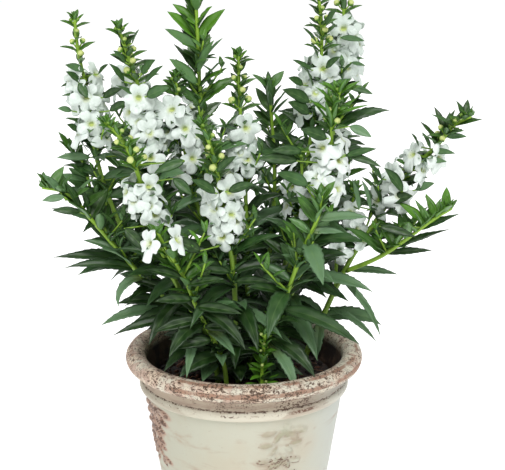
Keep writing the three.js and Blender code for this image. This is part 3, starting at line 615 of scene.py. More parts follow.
packed = {name: Packed(name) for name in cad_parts}
tally = {"placed": 0, "left out": 0, "triangles": 0, "largest": 0}


def firstTaken(places, taken):
    found = next(filter(None, (taken(*place) for place in places)), None)
    tally["placed" if found else "left out"] += 1
    return found


def bladePlace(node, joint, turn, size):
    def taken(dTurn, dRise, share):
        tried = {**size, "rise": size["rise"] + dRise, "length": size["length"] * share}
        tip = bladeLine(joint, turn + dTurn, tried, [1])[0][0]
        return (turn + dTurn, tried) if packed[node].has(tip) else None
    return firstTaken(leafPlaces, taken)


def budPlace(node, joint, turn, rise, reach, radius):
    def taken(dTurn, dRise, share):
        axis = heading(turn + dTurn, rise + dRise)
        head = startOf(joint, turn + dTurn) + axis * (reach * share + radius)
        return (turn + dTurn, rise + dRise, reach * share) if packed[node].has(head) else None
    return firstTaken(bloomPlaces, taken)


def bloomPlace(node, joint, turn, rise, radius, tilt):
    def taken(dTurn, dRise, share):
        reach = bloomShape["reach"] * share - bloomShape["throatDepth"]
        *_, centre, face = bloomLine(joint, turn + dTurn, rise + dRise, reach)
        right, high = facingAxes(face)
        seen = 0
        for middle, spread, length in bloomShape["lobes"]:
            for sign in (-1, 1):
                angle = math.radians(middle + sign * spread * bloomShape["corner"]) + tilt
                spot = centre + (right * math.cos(angle) + high * math.sin(angle)) * radius * length + face
                seen += packed[node].has(spot)
        return (turn + dTurn, rise + dRise, reach) if seen >= bloomShape["seen"] else None
    return firstTaken(bloomPlaces, taken)


# Surfaces gathered into one mesh, with what the finishes read at each point:
# place is the share along the piece, the share across it and its side; growth is kind, tone, youth

stalkKind, leafKind, budKind = 0, 1, 2


class Bundle:
    def __init__(self):
        self.spots, self.faces, self.place, self.growth = [], [], [], []
        self.count = 0

    def loft(self, rings, place, growth, ends=True):
        rings = np.asarray(rings, float)
        n, m = rings.shape[:2]
        index = np.arange(n * m).reshape(n, m)
        beside = np.roll(index, -1, axis=1)
        quads = np.stack([index[:-1], beside[:-1], beside[1:], index[1:]], -1).reshape(-1, 4)
        flat = rings.reshape(-1, 3)
        a, b, c, d = (flat[quads[:, k]] - flat.mean(0) for k in range(4))
        volume = (a * np.cross(b, c)).sum() + (a * np.cross(c, d)).sum()
        faces = quads.tolist() + ([index[0, ::-1].tolist(), index[-1].tolist()] if ends else [])
        way = -1 if volume < 0 else 1
        self.faces += [[k + self.count for k in face[::way]] for face in faces]
        self.spots.append(flat)
        for held, value in ((self.place, place), (self.growth, growth)):
            held.append(np.broadcast_to(value, (n, m, 3)).reshape(-1, 3))
        self.count += n * m

    def piece(self, name, material, slot, *nodes):
        triangles = sum(len(face) - 2 for face in self.faces)
        tally["triangles"] += triangles
        tally["largest"] = max(tally["largest"], triangles)
        mesh = bpy.data.meshes.new(name)
        mesh.from_pydata((np.concatenate(self.spots) * mm).tolist(), [], self.faces)
        for label, held in (("place", self.place), ("growth", self.growth)):
            layer = mesh.attributes.new(label, "FLOAT_VECTOR", "POINT")
            layer.data.foreach_set("vector", np.concatenate(held).astype(np.float32).ravel())
        mesh.shade_smooth()
        mesh.materials.append(material)
        made = addObject(name, mesh)
        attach(made, "root")
        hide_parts(*nodes)


# Leaves and bracts

bladeForm = {
    "across": (1, 0.6, 0.14, 0, -0.14, -0.6, -1, -0.5, -0.12, 0, 0.12, 0.5),
    "layer": (0, 0, 0, 0, 0, 0, 0, -1, -1, -1.9, -1, -1),
    "side": (0, 1, 1, 1, 1, 1, 0, -1, -1, -1, -1, -1),
    "groove": (0, 0, 0.2, 1, 0.2, 0, 0, 0, 0, 0, 0, 0),
    "thick": 0.42, "full": 1, "grooveDepth": 0.32, "foot": 0.13, "toothLength": 4.3, "toothDepth": 0.13,
    "toothFrom": 0.3, "toothPeak": 0.78, "lastTooth": 0.97, "thinnest": 0.015, "ripple": 0.05,
    "curve": 1.25,
}
leanForm = {
    "across": (1, 0.5, 0, -0.5, -1, -0.5, 0, 0.5), "layer": (0, 0, 0, 0, 0, -1, -1.4, -1),
    "side": (0, 1, 1, 1, 0, -1, -1, -1), "groove": (0, 0, 1, 0, 0, 0, 0, 0), "thick": 0.36, "full": 1.04,
}
leanBelow = 24  # length up to which a blade takes the form with fewer corners


def outline(size, toothed):
    if toothed:
        start = bladeForm["toothFrom"]
        count = max(3, round(size["length"] * (1 - start) / bladeForm["toothLength"]))
        edges = np.linspace(start, 1, count + 1)
        peaks = mix(edges[:-1], edges[1:], bladeForm["toothPeak"])
        shares = np.sort(np.concatenate([np.linspace(0, start, 6)[:-1], edges, peaks]))
        notch = np.isin(shares, edges) * bladeForm["toothDepth"] * (shares < bladeForm["lastTooth"])
        rise, fall = 0.7, 1.05
    else:
        shares = np.linspace(0, 1, 10 if size["length"] > 13 else 7)
        notch = np.zeros(len(shares))
        rise, fall = 0.72, 1.02
    peak = rise / (rise + fall)
    width = (shares**rise * (1 - shares)**fall) / (peak**rise * (1 - peak)**fall)
    width = np.maximum(width, bladeForm["foot"] * (1 - shares)) * (1 - notch)
    return shares, np.maximum(width, bladeForm["thinnest"])


def fineBlade(bundle, joint, turn, size, tone, young, toothed=False, twist=0.0):
    shares, width = outline(size, toothed)
    middle, side, level, roll = bladeLine(joint, turn, size, shares)
    middle = middle + joint["drift"] * (1 - shares[:, None])**2
    angle = roll + twist * shares[:, None]
    across = side * np.cos(angle) + level * np.sin(angle)
    normal = level * np.cos(angle) - side * np.sin(angle)
    form = bladeForm if size["length"] > leanBelow else leanForm
    s, layer, top, groove = (np.array(form[key], float) for key in ("across", "layer", "side", "groove"))
    half = (size["width"] / 2 * width * form["full"])[:, None]
    thick = form["thick"] * np.minimum(1, 0.4 + width)[:, None]
    lift = half * size["fold"] * np.abs(s)**bladeForm["curve"] + thick * layer
    lift = lift - bladeForm["grooveDepth"] * groove * np.minimum(1, width * 2)[:, None]
    wave = np.sin(2 * math.pi * (2.2 * shares + tone * 5))[:, None] * bladeForm["ripple"] * size["width"]
    lift = lift + wave * s * np.abs(s) * np.sin(math.pi * shares)[:, None]
    rings = middle[:, None] + across[:, None] * (half * s)[..., None] + normal[:, None] * lift[..., None]
    place = np.stack(np.broadcast_arrays(shares[:, None], s, top), -1)
    bundle.loft(rings, place, (leafKind, tone, young))


def placedBlade(bundle, node, joint, turn, size, **look):
    found = bladePlace(node, joint, turn, size)
    if found:
        fineBlade(bundle, joint, *found, **look)


youth = {"least": -0.6, "depth": 85, "depths": {"d": 150},  # depth where a leaf is neither young nor old
         "duller": {"p": 0.45, "q": 0.5, "k": 0.55, "w": 0.6, "g": 0.4, "r": 0.7}}


def youthOf(depth, name=""):
    share = 1 - depth / youth["depths"].get(name, youth["depth"])
    return max(youth["least"], share * youth["duller"].get(name, 1))


def ageOf(depth):  # 0 for the leaves at the tip and 1 for the full-grown ones
    return min(1, (depth - 5) / 150)


def leafLooks(draw):
    while True:
        yield {"tone": draw(), "twist": draw.sway(0.7)}


# Stalks: rounded squares that swell a little where each pair stands

stalkForm = {"step": 3.6, "sides": 10, "square": 0.09, "full": 0.9, "swell": 0.16, "swellLength": 2.4}


def fineStalk(bundle, stem, low, high):
    course = stem["course"]
    count = max(3, round((high - low) / stalkForm["step"]))
    nodes = [course.length - level["depth"] for level in levelsOf(stem)]
    turns = turnsOf(stalkForm["sides"])
    corner = 1 + stalkForm["square"] * np.cos(4 * (turns - math.radians(stem["turn"] + 45)))
    rings, place, growth = [], [], []
    for s in np.linspace(low, high, count + 1):
        point, way = course.at(s)
        across = unit(np.cross((0, 1, 0), way))
        radius = mix(*stem["thick"], s / course.length) * stalkForm["full"]
        swollen = sum(math.exp(-((s - n) / stalkForm["swellLength"])**2) for n in nodes)
        radius *= 1 + stalkForm["swell"] * swollen
        rings.append(ringOf(point, across, np.cross(way, across), turns, radius * corner))
        place.append([(s / course.length, 0, 1)])
        growth.append([(stalkKind, 0.5, youthOf((course.length - s) * 0.6))])
    bundle.loft(rings, place, growth)


def fineTube(bundle, points, radii, growth, sides=7):
    points = np.asarray(points, float)
    last = len(points) - 1
    rings = []
    for k, point in enumerate(points):
        way = unit(points[min(k + 1, last)] - points[max(k - 1, 0)])
        across = unit(np.cross(way, (0.31, 0.83, 0.46)))
        rings.append(ringOf(point, across, np.cross(way, across), turnsOf(sides), radii[k]))
    bundle.loft(rings, [[(k / last, 0, 1)] for k in range(last + 1)], growth)


# Buds: a pedicel, a green cup and a round head with five creases

budForm = {
    "sides": 10, "stalk": 0.5, "crease": 0.06, "sag": 0.08, "full": 0.78,
    "cup": [(-1.15, 0.35, 0), (-0.9, 0.75, 0), (-0.45, 1.12, 0.12), (0.15, 1.16, 0.3)],
}


def fineBud(bundle, joint, turn, rise, reach, radius, tone, young):
    axis = heading(turn, rise)
    start = startOf(joint, turn) + joint["drift"]
    axes = facingAxes(axis)
    head = start + axis * reach
    radius = radius * budForm["full"]
    path = [start + axis * reach * t - up * budForm["sag"] * reach * math.sin(math.pi * t)
            for t in (0, 0.3, 0.6, 0.85)]
    fineTube(bundle, path, [budForm["stalk"]] * 4, (stalkKind, tone, 0.9), 6)
    turns = turnsOf(budForm["sides"])
    star = np.cos(5 * turns)
    shares = np.linspace(0.04, 0.97, 8)
    rings = [ringOf(head - axis * radius * math.cos(math.pi * t), *axes, turns,
                    radius * math.sin(math.pi * t)**0.8 * (1 + budForm["crease"] * star)) for t in shares]
    bundle.loft(rings, [[(t, 0, 1)] for t in shares], (budKind, tone, young))
    cup = [ringOf(head + axis * radius * lift, *axes, turns, radius * far * (1 - cut + cut * star))
           for lift, far, cut in budForm["cup"]]
    bundle.loft(cup, (0.5, 0.5, 1), (leafKind, tone, 0.75))


# Blooms: one corolla of five rounded lobes round a sunk throat, on a short tube in a green cup

bloomRings = [0.02, 0.1, 0.19, 0.28, 0.4, 0.54, 0.68, 0.82, 0.93, 1]  # from the throat to the edge
bloomBack = [0.99, 0.7, 0.35]
bloomTube = [(2.3, -2.6), (2.0, -3.4), (1.2, -4.2)]
bloomCup = [(-4.7, 0.9, 0), (-3.8, 1.8, 0), (-2.9, 2.5, 0.45)]


def hump(x, middle, width):
    return np.exp(-((x - middle) / width)**2)


def corolla(radius, tilt, draw):  # rings from the throat to the edge, and back behind it to the tube
    turns = turnsOf(bloomShape["sides"])
    edge = np.full(turns.shape, bloomShape["least"] * radius)
    own, off, flat = np.zeros(turns.shape, int), np.zeros(turns.shape), np.zeros(turns.shape)
    for k, (middle, reach) in enumerate(bloomShape["petals"]):
        full = radius * reach * draw.between(*bloomShape["vary"])
        small = full * (bloomShape["round"] + 0.05 * (draw() - 0.5))
        far = full - small
        angle = (turns - math.radians(middle) - tilt + math.pi) % (2 * math.pi) - math.pi
        inside = small**2 - (far * np.sin(angle))**2
        out = far * np.cos(angle) + np.sqrt(np.maximum(inside, 0))
        out = np.where((inside > 0) & (np.cos(angle) > 0), out, 0)
        own, off = np.where(out > edge, k, own), np.where(out > edge, angle, off)
        edge = np.maximum(edge, out)
    lean = np.array([v + draw.sway(bloomShape["loose"]) for v in bloomShape["lean"]])[own]
    curl = np.array([draw.between(*bloomShape["curl"]) for _ in range(5)])[own]
    phase = np.array([bloomShape["phase"] * draw() for _ in range(5)])[own]
    below = (turns - tilt - math.pi * 1.5 + math.pi) % (2 * math.pi) - math.pi
    boss = np.exp(-below**2 / bloomShape["bossWidth"])
    spots, place = [], []
    for k, t in enumerate(bloomRings + bloomBack):
        far = t * mix(bloomShape["neck"] * radius, edge, t)
        q = far / radius
        s = np.maximum(0, (q - 0.25) / 0.75)
        lift = 0.5 * hump(q, *bloomShape["collar"]) - bloomShape["sunk"] * hump(q, 0, bloomShape["cup"])
        lift = lift + boss * hump(q, *bloomShape["boss"])
        wide = off / bloomShape["spread"]
        lift = lift + s * (1.1 + 2.1 * lean) - s**2.2 * curl * 1.9 - 1.5 * s * wide**2
        lift = lift + bloomShape["ruffle"] * s**1.3 * np.sin(7.5 * off + phase + 2.4 * s)
        front = k < len(bloomRings)
        spots.append((far, lift - (0 if front else bloomShape["thick"])))
        place.append(np.stack([q, wide, flat + (1 if front else -1)], -1))
    for wide, deep in bloomTube:
        spots.append((flat + wide, flat + deep))
        place.append(np.stack([flat + 0.3, flat, flat - 1], -1))
    return turns, spots, place


def fineBloom(white, green, joint, turn, rise, reach, radius, tilt, seed):
    draw = Draws(seed)
    start, calyx, centre, face = bloomLine(joint, turn, rise, reach)
    start = start + joint["drift"]
    axes = facingAxes(face)
    tone = draw()
    turns, spots, place = corolla(radius, tilt, draw)
    rings = [ringOf(centre + lift[:, None] * face, *axes, turns, far) for far, lift in spots]
    lip = np.sin(turns - tilt)
    white.loft(rings, place, np.stack([1 + 0 * lip, tone + 0 * lip, lip], -1))
    bow = up * 0.12 * reach
    pedicel = [start + (calyx - start) * t + bow * math.sin(math.pi * t) for t in (0, 0.25, 0.5, 0.75, 1)]
    fineTube(green, pedicel, [0.62, 0.55, 0.55, 0.65, 0.95], (stalkKind, tone, 0.85), 6)
    turns = turnsOf(15)
    cup = [ringOf(centre + face * lift, *axes, turns, r * (1 + star * np.cos(5 * turns)))
           for lift, r, star in bloomCup]
    green.loft(cup, (0.5, 0.5, 1), (leafKind, tone, 0.6))


# Growing everything on its stem, in the order of the solids' own draws

def pairsOf(rows):  # each row with its two sides
    return [(level, half) for level in rows for half in (0, 180)]


# A form lists length, width, rise, droop, turn, tone and youth; a pair stands for a draw between the two
def strew(bundle, draw, joint, turn, form, scale=1, make=bractSize):
    length, width, rise, droop, aside, tone, young = (
        draw.between(*value) if isinstance(value, tuple) else value for value in form)
    fineBlade(bundle, joint, turn + aside, make(scale * length, width, rise, droop), tone=tone, young=young)


tuft = {
    "bracts": 3, "depth": 2, "first": 45, "apart": 120, "turn": (0, 20), "length": (7, 9), "width": 3.4,
    "rise": (66, 54), "droop": 18, "look": {"tone": 0.3, "young": 0.5},
    "blades": 8, "top": 4, "step": 0.7, "longest": 7.7, "shorter": 0.7, "vary": (0.9, 1.1), "flattest": 50,
    "steeper": 6, "bladeWidth": 2.9, "bladeDroop": 10, "bladeTone": 0.3, "bladeYoung": 0.7,
}


def growTuft(stem, green):  # bracts at the tip, and a spiral of smaller blades among them
    draw, extra = drawOf(stem, 0), drawOf(stem, 900)
    for k in range(tuft["bracts"]):
        length = draw.between(*tuft["length"])
        turn = stem["turn"] + tuft["first"] + tuft["apart"] * k + draw.between(*tuft["turn"])
        size = bractSize(length, tuft["width"], draw.between(*tuft["rise"]), tuft["droop"])
        placedBlade(green, stem["top"], jointBelow(stem, tuft["depth"]), turn, size, **tuft["look"])
    for k in range(tuft["blades"]):
        form = (tuft["vary"], tuft["bladeWidth"], tuft["flattest"] + tuft["steeper"] * k,
                tuft["bladeDroop"], 0, tuft["bladeTone"], tuft["bladeYoung"])
        joint = jointBelow(stem, tuft["top"] - tuft["step"] * k)
        length = tuft["longest"] - tuft["shorter"] * k
        strew(green, extra, joint, stem["turn"] + goldenTurn * k, form, length)


blooms = {"turn": 24, "radius": (0.92, 1.06), "rise": (12, 28), "tilt": 0.5}
asides = [  # the small leaves under a bloom
    ((10, 16.25), 5, (30, 4), 30, (-20, 20), (0, 1), (0, 0.35)),
    ((12, 19.5), 5, (51, 25), 30, (64, 104), (0, 1), (0, 0.35)),
]


def growBlooms(stem, white, green):
    draw, small = drawOf(stem, 100), drawOf(stem, 950)
    for level, half in pairsOf(levelsOf(stem, ["bloom"])):
        turn = level["turn"] + half + draw.sway(blooms["turn"])
        radius = bloomShape["radius"] * draw.between(*blooms["radius"])
        rise, tilt = draw.between(*blooms["rise"]), draw.sway(blooms["tilt"])
        found = bloomPlace(stem["top"], level["joint"], turn, rise, radius, tilt)
        if found:
            seed = stem["seed"] * 100 + level["order"] * 10 + half // 90
            fineBloom(white, green, level["joint"], *found, radius, tilt, seed)
            for form in asides:
                strew(green, small, level["under"], found[0], form)


amongBlooms = {"stems": "abcfhix", "form": ((13, 18), 4.8, (10, 75), 20, (0, 360), (0, 1), 0.1),
               "oval": ((13, 18), 7, (10, 75), 20, (190, 360), (0, 1), 0.1)}  # the stem m has oval ones


def growAmongBlooms(stem, green):
    draw = drawOf(stem, 980)
    for level in levelsOf(stem, ["bloom"]):
        if stem["name"] == "m":
            strew(green, draw, level["under"], 0, amongBlooms["oval"])
        elif stem["name"] in amongBlooms["stems"]:
            strew(green, draw, level["under"], 0, amongBlooms["form"])


# height, turn, rise, reach and radius
moreBlooms = {"o": [(199, -12, 4, 11, 8.6), (193, 262, 0, 7, 8.4), (207, 318, 8, 8, 8.2)]}
moreTilt, moreSeed = 0.2, 9000


def growMoreBlooms(stem, white, green):
    for k, (height, *shape) in enumerate(moreBlooms.get(stem["name"], [])):
        fineBloom(white, green, jointOver(stem, height), *shape, moreTilt, moreSeed + k)


halfBlooms = {"turn": 40, "radius": 8.8, "vary": (0.85, 1.15), "reach": (4.6, 7), "rise": (6, 30),
              "tilt": 0.9, "share": 0.66}


def growHalfBlooms(stem, white, green):  # smaller blooms that fill the spaces between two levels
    draw = drawOf(stem, 970)
    rows = levelsOf(stem, ["bloom"])
    for (one, half), (two, _) in zip(pairsOf(rows), pairsOf(rows[1:])):
        joint = jointBelow(stem, (one["depth"] + two["depth"]) / 2)
        turn = one["turn"] + half + 45 + draw.sway(halfBlooms["turn"])
        radius = halfBlooms["radius"] * draw.between(*halfBlooms["vary"])
        reach, rise = draw.between(*halfBlooms["reach"]), draw.between(*halfBlooms["rise"])
        tilt = draw.sway(halfBlooms["tilt"])
        seed = stem["seed"] * 100 + 50 + one["order"] * 2 + half // 180
        if draw() < halfBlooms["share"]:
            fineBloom(white, green, joint, turn, rise, reach, radius, tilt, seed)


budRows = {  # pairs run from the uppermost level to the lowest of five
    "levels": 4, "turn": 16, "rise": (62, 48), "reach": (3.6, 8), "radius": (1.5, 2.9), "young": (1, -0.25),
    "length": (9, 14), "longer": (0, 2), "width": (3.4, 4.2), "bractRise": (36, 28), "droop": 34,
    "look": {"tone": 0.4, "young": 0.35}, "small": {"rise": 44, "width": 4.4}, "smallLength": (11, 14),
    "smallLook": {"tone": 0.4, "young": 0.45}, "budTone": 0.5,
    "leafLength": (9, 15), "leafVary": (0.9, 1.3), "leafRise": (74, 24), "leafDroop": 14,
    "leafTurn": (0, 40), "leafTone": (0, 0.7),
}
sprayLeafy = {  # more leaves among the buds: scale of the length, width, youth and where they turn
    "m": (1.4, 4.8, 0.2, (50, 110)), "j": (1.5, 3.8, 0.9, (40, 90, 130)), "c": (0.9, 2.8, 0.7, (50, 110)),
    "x": (0.9, 3.6, 0.3, (50, 110)), "o": (1, 3.6, 0.3, (50, 110)), "e": (0.9, 3.8, 0.4, (80,)),
    "h": (0.9, 4, 0.2, (80,)), "i": (0.9, 4, 0.2, (80,)), "b": (0.9, 4.6, 0.2, (80,)),
    "f": (0.85, 4, 0.3, (80,)),
}


def growBuds(stem, green):
    draw, extra = drawOf(stem, 200), drawOf(stem, 990)
    scale, width, young, sides = sprayLeafy.get(stem["name"], (0, 0, 0, ()))
    for level, half in pairsOf(levelsOf(stem, ["bud"])):
        def at(key):
            return mix(*budRows[key], level["order"] / budRows["levels"])

        turn = level["turn"] + half + draw.sway(budRows["turn"])
        length = at("length") + draw.between(*budRows["longer"])
        bract = bractSize(length, at("width"), draw.between(*budRows["bractRise"]), budRows["droop"])
        radius = at("radius")
        found = budPlace(stem["top"], level["joint"], turn, at("rise"), at("reach"), radius)
        if found:
            fineBud(green, level["joint"], *found, radius, budRows["budTone"], at("young"))
        if half == 180 * (level["order"] % 2):
            placedBlade(green, stem["top"], level["under"], turn, bract, **budRows["look"])
        else:
            small = {**bract, **budRows["small"], "length": at("smallLength")}
            fineBlade(green, level["under"], turn, small, **budRows["smallLook"])
        form = (budRows["leafVary"], width, budRows["leafRise"], budRows["leafDroop"],
                budRows["leafTurn"], budRows["leafTone"], young)
        for side in sides:
            strew(green, extra, level["joint"], turn + side, form, scale * at("leafLength"))


bracts = {"every": 3, "turn": (60, 120), "length": (14, 19), "width": 4.4, "rise": (-8, -22), "droop": 24,
          "look": {"tone": 0.3, "young": 0.3}}


def growBracts(stem, green):
    draw = drawOf(stem, 300)
    for level in levelsOf(stem, ["bloom"])[::bracts["every"]]:
        turn = level["turn"] + draw.between(*bracts["turn"])
        length = draw.between(*bracts["length"])
        size = bractSize(length, bracts["width"], draw.between(*bracts["rise"]), bracts["droop"])
        placedBlade(green, stem["top"], level["under"], turn, size, **bracts["look"])


# Leaves of the pairs, and of the half levels between them: each pair of numbers runs from young to grown
pairLeaf = {"turn": 22, "length": (17, 46), "width": (6.4, 11), "rise": (56, 24), "droop": (12, 56),
            "longer": (0.9, 1.1), "wider": (0.9, 1.1), "sway": 18}
halfLeaf = {"turn": 30, "length": (15, 40), "width": (6, 9.6), "rise": (58, 22), "droop": (12, 56),
            "longer": (0.8, 1.05), "wider": (0.85, 1.1), "sway": 24}
lengthening = 0.85


def grownLeaf(stem, draw, depth, form):
    share = ageOf(depth)
    length = mix(*form["length"], share**lengthening) * stem["leaf"] * draw.between(*form["longer"])
    width = mix(*form["width"], share) * stem["leaf"] * draw.between(*form["wider"])
    rise = mix(*form["rise"], share) + draw.sway(form["sway"])
    return leafSize(length, width, rise, mix(*form["droop"], share))


def growLeaves(stem, green, looks):
    draw = drawOf(stem, 400)
    for level, half in pairsOf(levelsOf(stem, ["leaf"])):
        turn = level["turn"] + half + draw.sway(pairLeaf["turn"])
        size = grownLeaf(stem, draw, level["depth"], pairLeaf)
        placedBlade(green, stem["green"], level["joint"], turn, size, toothed=size["length"] > toothedFrom,
                    young=youthOf(level["depth"], stem["name"]), **next(looks))


shoots = {
    "share": (0.22, 0.9), "lowest": 178, "depth": 3, "turn": 50, "length": (14, 30), "rise": (42, 66),
    "radius": (0.9, 0.5), "arch": 0.12, "pairs": 7, "leaf": (9, 17), "width": 3.1, "leafRise": (24, 66),
    "droop": 22, "fresh": "jrn", "young": (0.15, 0.55),
}


def growShoots(stem, green):  # short leafy shoots from the axils, between the larger leaves
    draw = drawOf(stem, 800)
    low, high = shoots["share"]
    base = shoots["young"][stem["name"] in shoots["fresh"]]
    for level, half in pairsOf(levelsOf(stem, ["leaf"])):
        turn = level["turn"] + half + draw.sway(shoots["turn"])
        long, rise = draw.between(*shoots["length"]), draw.between(*shoots["rise"])
        fresh, first = draw.between(0, 0.5), draw.between(0, 360)
        joint = jointBelow(stem, level["depth"] - shoots["depth"])
        if not low < ageOf(level["depth"]) < high or joint["seat"][2] < shoots["lowest"]:
            continue
        start, way = joint["seat"] + joint["drift"], heading(turn, rise)

        def along(t):
            return start + way * long * t + up * long * shoots["arch"] * t * t

        path = [along(t) for t in np.linspace(0, 1, 6)]
        fineTube(green, path, np.linspace(*shoots["radius"], 6), (stalkKind, 0.5, 0.6), 6)
        count = max(2, round(long / shoots["pairs"]))
        for k in range(count + 1):
            t = (k + 0.6) / (count + 0.6)
            middle = mix(*shoots["leafRise"], t)
            form = (shoots["leaf"], shoots["width"], (middle - 10, middle + 10), shoots["droop"], 0, (0, 1),
                    min(1, base + fresh * t))
            for side in (0, 180):
                strew(green, draw, freeJoint(along(t)), first + 90 * k + side, form, 1.1 - 0.4 * t)


crown = {  # leaves, highest and lowest depth, length, width and youth
    "d": (12, 8, 72, 25, 6, 0.2), "g": (8, 3, 26, 18, 3.6, 0.1), "k": (9, 3, 16, 17, 4, 0.5),
    "n": (14, 2, 30, 20, 3.8, 0.7), "p": (8, 2, 24, 20, 4.4, 0.4), "q": (8, 3, 18, 15, 4.4, 0.5),
    "w": (8, 3, 18, 15, 4.8, 0.5),
}
crownForm = {"length": (0.55, 1.05), "vary": (0.9, 1.1), "rise": (72, 52), "droop": 14, "turn": (45, 65),
             "turnOfD": 70}


def growCrown(stem, green):  # larger young leaves round a tip without blooms
    if stem["name"] not in crown:
        return
    blades, high, low, length, width, young = crown[stem["name"]]
    draw = drawOf(stem, 850)
    for k in range(blades):
        t = k / (blades - 1)
        long = length * mix(*crownForm["length"], t) * draw.between(*crownForm["vary"])
        size = bractSize(long, width, mix(*crownForm["rise"], t), crownForm["droop"])
        turn = stem["turn"] + 180 * k + 90 * (k // 2) + draw.between(*crownForm["turn"])
        if stem["name"] == "d":
            turn = 180 * k + draw.sway(crownForm["turnOfD"])
        fineBlade(green, jointBelow(stem, mix(high, low, t)), turn, size, tone=draw(),
                  young=young * mix(1, 0.6, t))


sprout = {"lowest": 121, "levels": 15, "leaf": ((0.7, 1.3), 4, (20, 70), 30, (0, 30), 0.4, (0.7, 1)),
          "length": (14, 7), "reach": (3, 6), "rise": 40, "bud": (1.3, 0.5, 0.6)}


def growSprout(stem, green):  # the small fresh shoot at the front, all little leaves and green buds
    draw = drawOf(stem, 880)
    low, high = stem["course"].reaching(sprout["lowest"]), stem["course"].length - 1
    for k in range(sprout["levels"]):
        t = k / (sprout["levels"] - 1)
        joint = jointAt(stem, mix(low, high, t))
        for side in (0, 180):
            strew(green, draw, joint, goldenTurn * k + side, sprout["leaf"], mix(*sprout["length"], t))
        if k % 2:
            turn = draw.between(0, 360)
            fineBud(green, joint, turn, sprout["rise"], draw.between(*sprout["reach"]), *sprout["bud"])


axils = {"from": 0.25, "depth": 2, "sides": (-30, 0, 30, 150, 180, 210),
         "form": ((7, 15), 3.4, (40, 70), 20, (0, 14), (0, 1), (0.25, 0.65))}
basal = {"heights": range(124, 150, 8), "apart": 37, "turn": (0, 40), "length": (20, 34), "width": (7, 11),
         "rise": (4, 44), "droop": (30, 60), "reach": 52, "full": 0.8, "young": (-0.6, -0.2)}
bareTo = {"m": 185}  # the leaning stem's foot is seen bare


def growBetween(stem, green, looks):  # leaves of the half levels, low leaves and shoots in the axils
    draw = drawOf(stem, 600)
    bare = bareTo.get(stem["name"], 0)
    rows = levelsOf(stem, ["leaf"])
    for (one, half), (two, _) in zip(pairsOf(rows), pairsOf(rows[1:])):
        depth = (one["depth"] + two["depth"]) / 2
        turn = one["turn"] + half + 45 + draw.sway(halfLeaf["turn"])
        size, joint, look = grownLeaf(stem, draw, depth, halfLeaf), jointBelow(stem, depth), next(looks)
        if joint["seat"][2] > bare:
            fineBlade(green, joint, turn, size, young=youthOf(depth, stem["name"]),
                      toothed=size["length"] > toothedFrom, **look)
    for row in rows:
        joint = jointBelow(stem, row["depth"] - axils["depth"])
        if ageOf(row["depth"]) < axils["from"] or joint["seat"][2] < bare:
            continue
        for side in axils["sides"]:
            strew(green, draw, joint, row["turn"] + side, axils["form"])
    if stem["host"] or bare:
        return
    for height, half in pairsOf(basal["heights"]):
        joint = jointOver(stem, height)
        turn = stem["turn"] + basal["apart"] * height + half + draw.between(*basal["turn"])
        size = leafSize(*(draw.between(*basal[key]) for key in ("length", "width", "rise", "droop")))
        reach = joint["seat"] + heading(turn, 0) * size["length"] * basal["full"]
        if math.hypot(reach[0], reach[1]) < basal["reach"]:
            fineBlade(green, joint, turn, size, young=draw.between(*basal["young"]), **next(looks))


thickets = {  # lowest and highest seat, leaves and their length
    "t": (176, 262, 16, 24), "w": (184, 252, 12, 24), "q": (196, 246, 8, 22), "a": (178, 214, 6, 24),
    "u": (180, 240, 6, 24),
}
thicketLeaf = ((0.7, 1.2), (4.6, 6), (10, 66), 30, (0, 40), (0, 1), -0.1)


def growThicket(stem, green):  # narrow leaves that close the view between the stems at the left
    low, high, leaves, length = thickets.get(stem["name"], (0, 0, 0, 0))
    draw = drawOf(stem, 1010)
    for k in range(leaves):
        joint = jointOver(stem, mix(low, high, (k + 0.5) / leaves))
        strew(green, draw, joint, goldenTurn * k, thicketLeaf, length, leafSize)


# the tone that gives a leaf the painted sheen
sheenLook = {"tone": 0.96, "twist": 0.3}


def growLongLeaves(stem, green, looks):
    for height, turn, *size in longLeaves.get(stem["name"], []):
        look = next(looks)
        if stem["name"] == "m" and size[2] < 0:  # the two that fall beside the pot carry the painted sheen
            look = sheenLook
        placedBlade(green, stem["green"], jointOver(stem, height), turn, leafSize(*size), young=-0.2,
                    toothed=True, **look)
    for height, turn, *size in sheenLeaves.get(stem["name"], []):
        fineBlade(green, jointOver(stem, height), turn, leafSize(*size), tone=sheenLook["tone"], young=0,
                  toothed=True)


